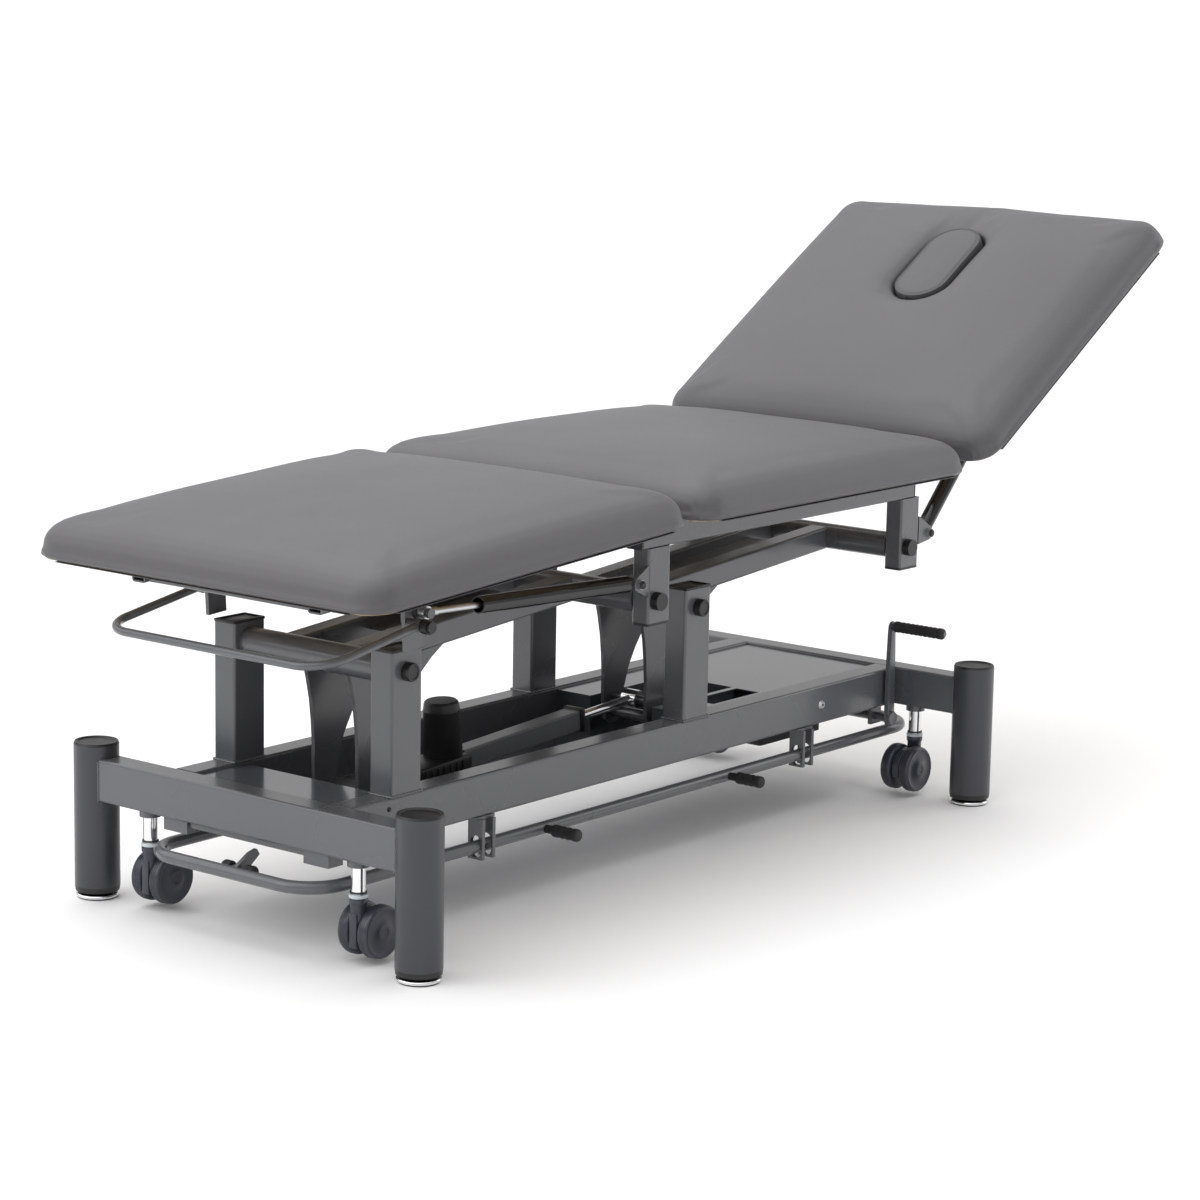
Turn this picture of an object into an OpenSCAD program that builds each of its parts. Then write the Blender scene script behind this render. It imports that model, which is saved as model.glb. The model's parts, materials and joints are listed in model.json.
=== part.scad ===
/* [Cushions] */
// Width of the three cushions
cushion_w = 650; // [600:10:700]
// Thickness of the cushions at the middle
cushion_t = 70; // [60:1:76]
// Length of the seat cushion
seat_len = 688; // [680:1:690]
// Length of the head cushion
head_len = 637; // [600:1:680]
// Length of the leg cushion
leg_len = 664; // [640:1:680]
// Angle of the head section above the level
head_angle = 31.4; // [10:0.1:50]
// Angle of the leg section below the level
leg_angle = 3.6; // [0:0.1:4]
// Corner radius of the cushions seen from above
corner_r = 46; // [30:1:60]
// Width of the rounded shoulder round each cushion's top
shoulder = 58; // [40:1:62]

/* [Base] */
// Distance between leg centres along the couch
leg_span_x = 1300; // [1290:1:1310]
// Distance between leg centres across the couch
leg_span_y = 604; // [590:1:620]
// Diameter of the legs
leg_d = 63.5; // [60:0.5:64]
// Height of the leg tops
leg_top = 220; // [210:1:230]
// Height of the rail's underside above the floor
rail_z = 143; // [140:1:145]
// Height of the base rails
rail_h = 60; // [58:1:62]
// Width of the base rails
rail_w = 40; // [38:0.5:40]
// Outer width across the side rails
base_w = 332; // [330:1:334]

/* [Lift] */
// Pivot-to-pivot length of the lift arms
arm_len = 475; // [474:0.5:476]
// Slope of the lift arms at rest
arm_angle = 4.5; // [4:0.1:5]
// Distance between the two pairs of posts
post_span = 635; // [630:1:640]
// Height of the lower pivots above the floor
pivot_z = 370.4; // [369:0.1:372]

/* [Hidden] */
$fn = 48;

origin_x = 211.1;                 // middle of the couch's own box, from the middle of the base
wall = 2.5;                       // wall of the steel tubes
gap = 0.4;                        // clearance between parts of different bodies
seam = 0.1;                       // gap left at welds, so that each tube is its own solid
pin_r = 8;                        // radius of the lift pivots' pins
fit = 0.05;                       // radial clearance of a running fit
leg_x = leg_span_x / 2;
leg_y = leg_span_y / 2;
leg_r = leg_d / 2;
rail_top = rail_z + rail_h;
rail_out = base_w / 2;            // outer face of a side rail
rail_in = rail_out - rail_w;      // inner face of a side rail
cross_in = leg_x - rail_w / 2;    // inner face of a cross rail
foot_post_x = -526;
head_post_x = foot_post_x + post_span;
post_len = 60;                    // size of a post along the couch
post_top = 398;
torque_r = 21;
upper_r = 20;
up_dx = arm_len * cos(arm_angle);
up_dz = arm_len * sin(arm_angle);
upper_z = pivot_z + up_dz;
upper_foot_x = foot_post_x + up_dx;
upper_head_x = head_post_x + up_dx;
arm_in = 36;                      // inner face of a lift arm
arm_out = 70;                     // outer face of a lift arm
arm_h = 35;
lever_in = 38;                    // inner face of a lever plate
lever_out = 44;
drop_in = 182;                    // inner face of the drop brackets and seat rails
drop_out = 212;
seat_z = 534;                     // underside of the seat board
frame_h = 50;
frame_z = seat_z - frame_h;
drop_z = 376;
drop_len = 50;
drop_dx = 8;                      // middle of a drop bracket past its pivot
hinge_z = seat_z - 6;             // both section hinges lie just under the boards
head_hinge_x = 636;
leg_hinge_x = -92;
board_t = 12;
seat_x0 = -86;
hinge_r = 7.4;                    // hinge barrel
hinge_pin_r = 4.5;
shaft_r = 6;                      // cross shaft of the caster crank
board_inset = 12;
section_in = 150;                 // side tubes of the head and leg frames
section_out = 175;
section_h = 25;
skirt = 18;                       // plain lower edge of a cushion before its shoulder
act_a = [-371, 165];              // rear pin of the actuator
act_b = [60, -171];               // rod pin of the actuator, from the head lever's pivot
act_pin_r = 6;
spring_y = 198;                   // gas springs run in this plane on each side
spring_pin_r = 4;
head_fix = [8, -105];             // lower anchor of a head spring, from the head hinge
head_mov = [200, -30];            // upper anchor, in the head section's own directions
leg_fix = [2, -92];               // fixed anchor of a leg spring, from the leg hinge
leg_mov = [440, -46];             // moving anchor, in the leg section's own directions
plug_u = 430;                     // middle of the face opening along the head section
plug_l = 200;
plug_w = 100;
bail_piv = [-545, 440];
bail_y = 203;
bail_len = 188;
bail_angle = 9.8;
bail_r = 6;
bail_corner = 48;
caster_y = 195;
caster_r = 36;
caster_z = 44;                    // axle height with the casters raised
caster_trail = 22;
wheel_in = 7.5;                   // inner and outer faces of a wheel, from the middle of the pair
wheel_out = 28;
axle_r = 4;
stem_r = 10;
swivel_r = 4.5;                   // pin under the stem, on which the fork turns
crank_x = 608;
crank_z = 124;
crank_y = 170.5;
crank_len = 149;
ring_y = 160;                     // foot bar under the side rails
ring_x = 700;
ring_z = 101;
ring_r = 9;
ring_corner = 60;
bar_travel = 6;
link_x = -680;                    // pin of the link at the foot end
tray_z = 197;
tray_t = 2;
slot_y = 60;
well_x0 = -536;                   // the low pan between the trays, where the actuator lies
well_x1 = 342;
head_tray_x = 140;

// ---- helpers ----
module place() { translate([-origin_x, 0, 0]) children(); }
module both() { for (s = [0, 1]) mirror([0, s, 0]) children(); }
module box(a, b) { translate(a) cube(b - a); }
// a rounded rectangle between two corners
module round_rect(a, b, r) {
    union() {
        translate([a[0] + r, a[1]]) square([b[0] - a[0] - 2 * r, b[1] - a[1]]);
        translate([a[0], a[1] + r]) square([b[0] - a[0], b[1] - a[1] - 2 * r]);
        for (x = [a[0] + r, b[0] - r], y = [a[1] + r, b[1] - r]) translate([x, y]) circle(r = r);
    }
}
module frame_profile(a, b, w = wall) {
    difference() {
        round_rect(a, b, 4);
        translate([a[0] + w, a[1] + w]) square([b[0] - a[0] - 2 * w, b[1] - a[1] - 2 * w]);
    }
}
// hollow tubes along each direction, given by two opposite corners
module tube_x(a, b) {
    translate([a[0], 0, 0]) rotate([90, 0, 90]) linear_extrude(b[0] - a[0])
        frame_profile([a[1], a[2]], [b[1], b[2]]);
}
module tube_y(a, b) {
    translate([0, b[1], 0]) rotate([90, 0, 0]) linear_extrude(b[1] - a[1])
        frame_profile([a[0], a[2]], [b[0], b[2]]);
}
module tube_z(a, b) {
    translate([0, 0, a[2]]) linear_extrude(b[2] - a[2]) frame_profile([a[0], a[1]], [b[0], b[1]]);
}
// round bar along Y
module bar_y(x, z, r, y0, y1) { translate([x, y1, z]) rotate([90, 0, 0]) cylinder(r = r, h = y1 - y0); }
// flat shape in the XZ plane, between two Y values
module plate_y(y0, y1) { translate([0, y1, 0]) rotate([90, 0, 0]) linear_extrude(y1 - y0) children(); }
module stadium(l, w) {
    union() {
        square([l - w, w], center = true);
        for (s = [-1, 1]) translate([s * (l - w) / 2, 0]) circle(d = w);
    }
}
module at_foot() { translate([foot_post_x, 0, pivot_z]) children(); }
module at_head() { translate([head_post_x, 0, pivot_z]) children(); }
// the head section's own directions: x away from the hinge, z off the board
module head_space() { translate([head_hinge_x, 0, hinge_z]) rotate([0, -head_angle, 0]) children(); }
// the leg section's own directions: x away from the hinge towards the foot end
module leg_space() {
    translate([leg_hinge_x, 0, hinge_z]) rotate([0, -leg_angle, 0]) mirror([1, 0, 0]) children();
}

// ---- base ----
module side_rails() {
    color("#5b5f66") place() both()
        tube_x([-cross_in, rail_in, rail_z], [cross_in, rail_out, rail_top]);
}
module cross_rails() {
    color("#5b5f66") place() for (s = [-1, 1]) difference() {
        tube_y([s * leg_x - rail_w / 2, -leg_y, rail_z], [s * leg_x + rail_w / 2, leg_y, rail_top]);
        for (y = [-leg_y, leg_y]) translate([s * leg_x, y, rail_z - 1]) cylinder(r = leg_r, h = rail_h + 2);
        for (y = [-caster_y, caster_y]) translate([s * leg_x, y, rail_z - 1])
            cylinder(r = stem_r + 0.5, h = 10);
    }
}
module each_leg() { for (x = [-leg_x, leg_x], y = [-leg_y, leg_y]) translate([x, y, 0]) children(); }
module legs() {
    color("#55585e") place() each_leg() translate([0, 0, 18]) difference() {
        cylinder(r = leg_r, h = leg_top - 18);
        translate([0, 0, -1]) cylinder(r = leg_r - 3, h = leg_top);
    }
}
module leg_plugs() {
    color("#1c1c1e") place() each_leg() {
        translate([0, 0, leg_top]) difference() {
            union() {
                cylinder(r1 = leg_r, r2 = leg_r - 1.5, h = 3.5);
                translate([0, 0, -14]) cylinder(r = leg_r - 3, h = 14.5);
            }
            translate([0, 0, 1.5]) cylinder(r1 = leg_r - 6, r2 = leg_r - 3.5, h = 3);
        }
        translate([0, 0, 10.5]) difference() {
            union() {
                cylinder(r1 = leg_r - 1, r2 = leg_r, h = 7.5);
                cylinder(r = leg_r - 3, h = 22);
            }
            translate([0, 0, -1]) cylinder(r = 6 + fit, h = 30);
        }
    }
}
module levelling_foot(x, y) {
    color("#c9c9cc") place() translate([x, y, 0]) union() {
        cylinder(r1 = 30, r2 = 31.5, h = 3);
        translate([0, 0, 3]) cylinder(r1 = 31.5, r2 = 25, h = 6.5);
        cylinder(r = 6, h = 52);
    }
}
module levelling_foot_fn() { levelling_foot(-leg_x, -leg_y); }
module levelling_foot_ff() { levelling_foot(-leg_x, leg_y); }
module levelling_foot_hn() { levelling_foot(leg_x, -leg_y); }
module levelling_foot_hf() { levelling_foot(leg_x, leg_y); }
module posts() {
    color("#62666c") place() both() for (x = [foot_post_x, head_post_x]) difference() {
        tube_z([x - post_len / 2, rail_in, rail_top], [x + post_len / 2, rail_out, post_top]);
        bar_y(x, pivot_z, pin_r, rail_in - 1, rail_out + 1);
    }
}
module post_caps() {
    color("#1c1c1e") place() both() for (x = [foot_post_x, head_post_x]) {
        difference() {
            translate([0, 0, post_top]) linear_extrude(4)
                round_rect([x - post_len / 2, rail_in], [x + post_len / 2, rail_out], 4);
            translate([0, 0, post_top + 2]) linear_extrude(4)
                round_rect([x - post_len / 2 + 4, rail_in + 4], [x + post_len / 2 - 4, rail_out - 4], 3);
        }
        difference() {
            bar_y(x, pivot_z, 13, rail_out, rail_out + 12);
            translate([x, rail_out + 12.5, pivot_z]) rotate([90, 0, 0]) cylinder(r1 = 9, r2 = 7, h = 2);
        }
    }
}
// the trays close the two ends of the base, and a low pan lies between them
module foot_tray() {
    color("#6a6e74") place() {
        box([-cross_in, -rail_in, tray_z], [well_x0, rail_in, tray_z + tray_t]);
        box([well_x0 - tray_t, -rail_in, rail_z + tray_t + seam], [well_x0, rail_in, tray_z - seam]);
    }
}
module well_pan() {
    color("#6a6e74") place() box([well_x0, -rail_in, rail_z], [well_x1, rail_in, rail_z + tray_t]);
}
module head_tray() {
    color("#6a6e74") place() difference() {
        union() {
            box([head_tray_x, -rail_in, tray_z], [cross_in, rail_in, tray_z + tray_t]);
            both() box([head_tray_x, slot_y, tray_z - 18], [well_x1, slot_y + 2, tray_z + 1]);
            both() box([head_tray_x, slot_y, rail_z + tray_t + seam], [head_tray_x + tray_t, rail_in, tray_z + 1]);
            box([well_x1 - tray_t, -slot_y - 2, tray_z - 18], [well_x1, slot_y + 2, tray_z + 1]);
        }
        box([head_tray_x - 1, -slot_y, tray_z - 1], [well_x1 - tray_t, slot_y, tray_z + 5]);
        box([222, -113, tray_z - 1], [338, -70, tray_z + 5]);
    }
}
module control_box() {
    color("#232326") place() difference() {
        union() {
            translate([0, 0, 106]) linear_extrude(tray_z - 106) round_rect([370, -95], [530, 15], 5);
            for (x = [390, 420, 450]) box([x, -105, 120], [x + 14, -94, 134]);
        }
        for (x = [395, 425, 455]) translate([x + 2, -104, 127]) rotate([90, 0, 0]) cylinder(r = 4, h = 4);
    }
}
module base_brackets() {
    color("#5b5f66") place() {
        // cross member and lugs that hold the actuator's rear pin
        box([act_a[0] - 16, -rail_in, rail_z + tray_t], [act_a[0] + 16, rail_in, rail_z + 7]);
        both() difference() {
            box([act_a[0] - 14, 20, rail_z + 7], [act_a[0] + 11, 26, act_a[1] + 11]);
            bar_y(act_a[0], act_a[1], act_pin_r, 19, 27);
        }
        // sleeves that guide the caster stems
        for (x = [-leg_x, leg_x], y = [-caster_y, caster_y]) translate([x, y, rail_z - 9]) difference() {
            cylinder(r = 15, h = 9);
            translate([0, 0, -1]) cylinder(r = stem_r + fit, h = 12);
        }
        // slotted hangers of the foot bar
        both() for (x = [-363, 390]) difference() {
            union() {
                box([x - 20, ring_y - 14, rail_z - 4], [x + 20, ring_y + 5, rail_z]);
                box([x - 14, ring_y - 14, ring_z - 18], [x - 8, ring_y + 12, rail_z - 3]);
                box([x + 8, ring_y - 14, ring_z - 18], [x + 14, ring_y + 12, rail_z - 3]);
            }
            translate([x + 21, ring_y, ring_z]) rotate([0, -90, 0]) linear_extrude(42)
                stadium(2 * (ring_r + bar_travel) + 1.6, 2 * ring_r + 1.2);
        }
        // bearings of the caster crank's cross shaft
        both() difference() {
            box([crank_x - 14, 142, crank_z - 12], [crank_x + 14, 148, rail_z]);
            bar_y(crank_x, crank_z, shaft_r + fit, 141, 149);
        }
        // brackets under the cross rail at the foot end
        both() box([-leg_x - 14, 109, rail_z - 18], [-leg_x + 14, 154, rail_z]);
        box([-leg_x - 10, -109 + seam, rail_z - 9], [-leg_x + 10, 109 - seam, rail_z]);
    }
}
module base_fasteners() {
    color("#a9abb0") place() both() {
        for (x = [foot_post_x, head_post_x]) bar_y(x, pivot_z, pin_r, 96, rail_out);
        for (x = [430]) translate([x, rail_out, 173]) rotate([-90, 0, 0]) difference() {
            cylinder(r1 = 7, r2 = 5, h = 3.2);
            translate([0, 0, 1.6]) cylinder(r = 2.6, h = 3, $fn = 6);
        }
    }
    color("#a9abb0") place() bar_y(act_a[0], act_a[1], act_pin_r, -30, 30);
}

// ---- lift arms: the two sets are alike ----
module lift_arm() {
    // lower tube turns on the post pins
    difference() {
        bar_y(0, 0, torque_r, -rail_in + gap, rail_in - gap);
        bar_y(0, 0, torque_r - 3, -95, 95);
        bar_y(0, 0, pin_r + fit, -rail_in, rail_in);
    }
    both() difference() {
        rotate([0, -arm_angle, 0]) tube_x([0, arm_in, -arm_h / 2], [arm_len, arm_out, arm_h / 2]);
        bar_y(0, 0, torque_r + seam, 0, rail_in);
        bar_y(up_dx, up_dz, upper_r + seam, 0, rail_in);
    }
    // upper tube turns on the pins of the drop brackets
    translate([up_dx, 0, up_dz]) difference() {
        bar_y(0, 0, upper_r, -drop_in + gap, drop_in - gap);
        bar_y(0, 0, upper_r - 3, -150, 150);
        bar_y(0, 0, pin_r + fit, -drop_in, drop_in);
    }
    // stiffening plate across the arms
    rotate([0, -arm_angle, 0]) box([150, -arm_in + seam, -4], [400, arm_in - seam, 0]);
}
module lever_outline() {
    polygon([[16, -14], [24, -40], [31, -72], [35, -104], [37, -135], [37, -165], [38, -192],
        [44, -207], [56, -214], [69, -213], [78, -205], [81, -190], [86, -162], [96, -132],
        [112, -104], [134, -74], [158, -48], [186, -25], [222, -2]]);
}
module lever_plates() {
    both() difference() {
        plate_y(lever_in, lever_out) lever_outline();
        bar_y(0, 0, torque_r + seam, 0, 80);
        rotate([0, -arm_angle, 0]) box([0, 30, -arm_h / 2 - seam], [arm_len, 80, 60]);
        bar_y(63, -196, 5, 0, 80);
    }
}
module foot_arm() { color("#6a6e74") place() at_foot() lift_arm(); }
module head_arm() { color("#6a6e74") place() at_head() lift_arm(); }
module foot_levers() {
    color("#74787e") place() at_foot() {
        lever_plates();
        both() bar_y(63, -196, 5, lever_in - 1, lever_out + 3);
    }
}
module head_levers() {
    color("#74787e") place() at_head() {
        difference() {
            lever_plates();
            bar_y(act_b[0], act_b[1], act_pin_r, -60, 60);
        }
        bar_y(63, -196, 5, -lever_out - 4, lever_out + 4);
        difference() {
            bar_y(63, -196, 9, -lever_in, lever_in);
            bar_y(63, -196, 5, -60, 60);
        }
        bar_y(act_b[0], act_b[1], act_pin_r, -lever_out, lever_out);
    }
}

// ---- actuator, from its rear pin along its own axis ----
act_vec = [head_post_x + act_b[0] - act_a[0], pivot_z + act_b[1] - act_a[1]];
act_len = norm(act_vec);
act_slope = atan2(act_vec[1], act_vec[0]);
act_tube_end = 396;
act_bore = 12.5;
module actuator_space() { translate([act_a[0], 0, act_a[1]]) rotate([0, -act_slope, 0]) children(); }
module actuator_housing() {
    color("#232326") place() actuator_space() {
        difference() {
            union() {
                bar_y(0, 0, 13, -19, 19);
                box([0, -19, -13], [24, 19, 13]);
                translate([20, 0, 0]) rotate([90, 0, 90]) linear_extrude(118) round_rect([-30, -16], [30, 14], 8);
            }
            bar_y(0, 0, act_pin_r + fit, -30, 30);
        }
        // upright motor in a tapered cover
        translate([107, 0, 14]) cylinder(r1 = 28.5, r2 = 25.5, h = 78);
        translate([107, 0, 92]) cylinder(r1 = 25.5, r2 = 23, h = 3);
        difference() {
            translate([act_tube_end, 0, 0]) rotate([90, 0, 90]) linear_extrude(10) round_rect([-18, -18], [18, 18], 5);
            translate([act_tube_end - 1, 0, 0]) rotate([0, 90, 0]) cylinder(r = act_bore, h = 20);
        }
    }
}
module actuator_tube() {
    color("#85898f") place() actuator_space() difference() {
        translate([138, 0, 0]) rotate([90, 0, 90]) linear_extrude(act_tube_end - 138)
            round_rect([-15, -15], [15, 15], 3);
        translate([142, 0, 0]) rotate([0, 90, 0]) cylinder(r = act_bore, h = 400);
    }
}
module actuator_rod() {
    color("#c9c9cc") place() actuator_space() difference() {
        union() {
            translate([250, 0, 0]) rotate([0, 90, 0]) cylinder(r = 7.5, h = act_len - 250);
            bar_y(act_len, 0, 14, -13, 13);
        }
        bar_y(act_len, 0, act_pin_r + fit, -30, 30);
    }
}

// ---- top frame ----
module hinge_ear(x0, x1, xh) {
    // plate that carries a section hinge pin, welded to the inner side of a seat rail
    difference() {
        box([min(x0, x1), drop_in - 5, frame_z + 12], [max(x0, x1), drop_in - seam, seat_z - 0.2]);
        bar_y(xh, hinge_z, hinge_pin_r, 100, 300);
    }
    difference() {
        bar_y(xh, hinge_z, hinge_r, drop_in - 5, drop_in - seam);
        box([min(x0, x1), 0, frame_z], [max(x0, x1), 300, seat_z + 40]);
        bar_y(xh, hinge_z, hinge_pin_r, 100, 300);
    }
}
module seat_frame() {
    color("#5b5f66") place() {
        both() {
            tube_x([-82, drop_in, frame_z], [598, drop_out, seat_z]);
            hinge_ear(540, head_hinge_x, head_hinge_x);
            hinge_ear(-10, leg_hinge_x, leg_hinge_x);
        }
        for (x = [0, 250, 505])
            tube_y([x - 15, -drop_in + 5 + seam, seat_z - 30], [x + 15, drop_in - 5 - seam, seat_z]);
    }
}
module drop_brackets() {
    color("#62666c") place() both() {
        for (x = [upper_foot_x, upper_head_x]) difference() {
            tube_z([x + drop_dx - drop_len / 2, drop_in, drop_z], [x + drop_dx + drop_len / 2, drop_out, frame_z]);
            bar_y(x, upper_z, pin_r, 100, 300);
        }
        // ears for the gas springs' fixed ends
        difference() {
            hull() {
                box([upper_head_x + drop_dx + drop_len / 2, drop_out - 6, 408],
                    [upper_head_x + drop_dx + drop_len / 2 + 1, drop_out, 452]);
                bar_y(head_hinge_x + head_fix[0], hinge_z + head_fix[1], 11, drop_out - 6, drop_out);
            }
            bar_y(head_hinge_x + head_fix[0], hinge_z + head_fix[1], spring_pin_r, 100, 300);
        }
        difference() {
            hull() {
                box([upper_foot_x + drop_dx - drop_len / 2 - 1, drop_out - 6, 415],
                    [upper_foot_x + drop_dx - drop_len / 2, drop_out, 460]);
                bar_y(leg_hinge_x + leg_fix[0], hinge_z + leg_fix[1], 11, drop_out - 6, drop_out);
            }
            bar_y(leg_hinge_x + leg_fix[0], hinge_z + leg_fix[1], spring_pin_r, 100, 300);
        }
    }
}
module frame_caps() {
    color("#1c1c1e") place() both() {
        for (x = [upper_foot_x, upper_head_x]) {
            translate([0, 0, drop_z - 4]) linear_extrude(4)
                round_rect([x + drop_dx - drop_len / 2, drop_in], [x + drop_dx + drop_len / 2, drop_out], 4);
            bar_y(x, upper_z, 13, drop_out, drop_out + 12);
        }
        for (x = [-86, 598]) translate([x, 0, 0]) rotate([90, 0, 90]) linear_extrude(4)
            round_rect([drop_in, frame_z], [drop_out, seat_z], 4);
    }
}
module upper_pins() {
    color("#a9abb0") place() both() {
        for (x = [upper_foot_x, upper_head_x]) bar_y(x, upper_z, pin_r, 151, drop_out);
        for (p = [[head_hinge_x + head_fix[0], hinge_z + head_fix[1]],
                  [leg_hinge_x + leg_fix[0], hinge_z + leg_fix[1]]]) {
            bar_y(p[0], p[1], spring_pin_r, 190, drop_out + 1);
            bar_y(p[0], p[1], 7, drop_out, drop_out + 5);
        }
    }
}
module hinge_pins() {
    color("#a9abb0") place() both() for (x = [head_hinge_x, leg_hinge_x])
        bar_y(x, hinge_z, hinge_pin_r, 141, drop_in + 3 * (x > 0 ? 1 : 0));
}

// ---- boards and cushions, each from its underside at z = 0 ----
module board(l, w, t = board_t) {
    translate([board_inset, 0, 0]) linear_extrude(t) round_rect([0, -w / 2 + board_inset],
        [l - 2 * board_inset, w / 2 - board_inset], corner_r - board_inset);
}
// rounded slab whose shoulder follows a quarter ellipse
module cushion_block(l, w, t) {
    hull() for (a = [0, 18, 36, 54, 72, 90]) {
        inset = shoulder * (1 - cos(a));
        translate([0, 0, a == 0 ? 0 : skirt + (t - skirt - 1) * sin(a)])
            linear_extrude(a == 0 ? skirt : 1) for (x = [corner_r + inset, l - corner_r - inset],
                y = [-w / 2 + corner_r + inset, w / 2 - corner_r - inset])
                translate([x, y]) circle(r = corner_r, $fn = 32);
    }
}
module cushion(l, w, t) {
    difference() {
        cushion_block(l, w, t);
        translate([0, 0, -1]) board(l, w, board_t + 1);
    }
}
head_u0 = 8;
leg_u0 = 5;
board_w = hinge_z < seat_z ? seat_z - hinge_z : 0;    // board's underside above the hinge axis
module seat_board() { color("#c8a878") place() translate([seat_x0, 0, seat_z]) board(seat_len, cushion_w); }
module seat_cushion() {
    color("#6f6b70") place() translate([seat_x0, 0, seat_z]) cushion(seat_len, cushion_w, cushion_t);
}
module face_hole(grow) {
    translate([plug_u, 0, -5]) linear_extrude(200) stadium(plug_l + 2 * grow, plug_w + 2 * grow);
}
module head_board() {
    color("#c8a878") place() head_space() difference() {
        translate([head_u0, 0, board_w]) board(head_len, cushion_w);
        face_hole(0.5);
    }
}
module head_cushion() {
    color("#6f6b70") place() head_space() difference() {
        translate([head_u0, 0, board_w]) cushion(head_len, cushion_w, cushion_t);
        face_hole(0.5);
    }
}
module face_plug() {
    color("#6a666b") place() head_space() translate([plug_u, 0, board_w + 1]) {
        linear_extrude(cushion_t - 1) stadium(plug_l, plug_w);
        translate([0, 0, cushion_t - 1]) linear_extrude(4) stadium(plug_l - 8, plug_w - 8);
    }
}
module leg_board() {
    color("#c8a878") place() leg_space() translate([leg_u0, 0, board_w]) board(leg_len, cushion_w);
}
module leg_cushion() {
    color("#6f6b70") place() leg_space() translate([leg_u0, 0, board_w]) cushion(leg_len, cushion_w, cushion_t);
}

// ---- tilting sections ----
// frame under a section: hinge barrels, side tubes and cross tubes
module section_frame(l, crosses) {
    both() {
        difference() {
            bar_y(0, 0, hinge_r, 142, drop_in - 5 - gap);
            bar_y(0, 0, hinge_pin_r + fit, 100, 200);
        }
        difference() {
            tube_x([0, section_in, board_w - section_h], [l, section_out, board_w]);
            bar_y(0, 0, hinge_r + seam, 100, 200);
        }
    }
    for (x = crosses) tube_y([x - 12.5, -section_in + seam, board_w - section_h],
        [x + 12.5, section_in - seam, board_w]);
}
module spring_anchor(p) {
    // lug beside a side tube that carries a gas spring's moving end
    both() difference() {
        union() {
            bar_y(p[0], p[1], 10, section_out, 190);
            box([p[0] - 18, section_out, p[1]], [p[0] + 18, section_out + 5, board_w]);
        }
        bar_y(p[0], p[1], spring_pin_r, 100, 300);
    }
    both() {
        bar_y(p[0], p[1], spring_pin_r, section_out + 1, 207);
        bar_y(p[0], p[1], 7, 206, 210);
    }
}
module head_frame() {
    color("#5b5f66") place() head_space() {
        section_frame(590, [150, 300, 560]);
        spring_anchor(head_mov);
    }
}
module leg_frame() {
    color("#5b5f66") place() leg_space() section_frame(610, [120, 390, 590]);
}
// plates under the leg frame that hold the bail and the springs' rod ends
module link_plates() {
    color("#5b5f66") place() leg_space() both() {
        difference() {
            union() {
                box([leg_mov[0] - 14, section_out, -58], [leg_mov[0] + 22, section_out + 5, board_w]);
                bar_y(leg_mov[0], leg_mov[1], 10, section_out, 190);
            }
            bar_y(leg_mov[0], leg_mov[1], spring_pin_r, 100, 300);
        }
        difference() {
            box([leg_mov[0] - 8, section_out + 5, -96], [leg_mov[0] + 26, section_out + 11, -30]);
            bar_y(leg_mov[0], leg_mov[1], 11, 100, 300);
        }
        bar_y(leg_mov[0], leg_mov[1], spring_pin_r, section_out + 1, 207);
        bar_y(leg_mov[0], leg_mov[1], 7, 206, 210);
    }
    color("#5b5f66") place() both() {
        bar_y(bail_piv[0], bail_piv[1], spring_pin_r, section_out + 10, bail_y + 9);
        bar_y(bail_piv[0], bail_piv[1], 8, section_out + 10, bail_y - 8);
    }
}
module release_valve() {
    color("#b08d3c") place() leg_space() translate([leg_mov[0] - 30, -spring_y, leg_mov[1] + 10]) {
        box([-8, -5, 0], [14, 5, 6]);
        translate([0, 0, 6]) cylinder(r = 3.5, h = 10);
    }
}
// gas springs: length is pin to pin, the cylinder end is at x = 0
module spring_cylinder(l, r, bore) {
    difference() {
        union() {
            translate([12, 0, 0]) rotate([0, 90, 0]) cylinder(r = r, h = l);
            translate([0, 5.5, 0]) rotate([90, 0, 0]) cylinder(r = 9, h = 11);
            box([0, -4, -5], [14, 4, 5]);
        }
        translate([20, 0, 0]) rotate([0, 90, 0]) cylinder(r = bore, h = l);
        translate([0, 6, 0]) rotate([90, 0, 0]) cylinder(r = spring_pin_r + fit, h = 12);
    }
}
module spring_rod(l, r) {
    difference() {
        union() {
            translate([-l, 0, 0]) rotate([0, 90, 0]) cylinder(r = r, h = l);
            translate([-22, 0, 0]) rotate([0, 90, 0]) cylinder(r = 6, h = 16);
            translate([0, 5.5, 0]) rotate([90, 0, 0]) cylinder(r = 9, h = 11);
        }
        translate([0, 6, 0]) rotate([90, 0, 0]) cylinder(r = spring_pin_r + fit, h = 12);
    }
}
function turned(p, a) = [p[0] * cos(a) - p[1] * sin(a), p[0] * sin(a) + p[1] * cos(a)];
head_top = turned(head_mov, head_angle);
head_vec = head_top - head_fix;
leg_end = turned(leg_mov, -leg_angle);
leg_vec = leg_end - [-leg_fix[0], leg_fix[1]];
module head_spring_space() {
    translate([head_hinge_x + head_fix[0], spring_y, hinge_z + head_fix[1]])
        rotate([0, -atan2(head_vec[1], head_vec[0]), 0]) children();
}
module leg_spring_space() {
    translate([leg_hinge_x + leg_fix[0], spring_y, hinge_z + leg_fix[1]]) mirror([1, 0, 0])
        rotate([0, -atan2(leg_vec[1], leg_vec[0]), 0]) children();
}
module head_spring_cylinders() {
    color("#1a1a1c") place() both() head_spring_space() spring_cylinder(150, 12, 10.3);
}
module head_spring_rods() {
    color("#b9bbc0") place() both() head_spring_space() translate([norm(head_vec), 0, 0]) spring_rod(170, 4.5);
}
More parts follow.
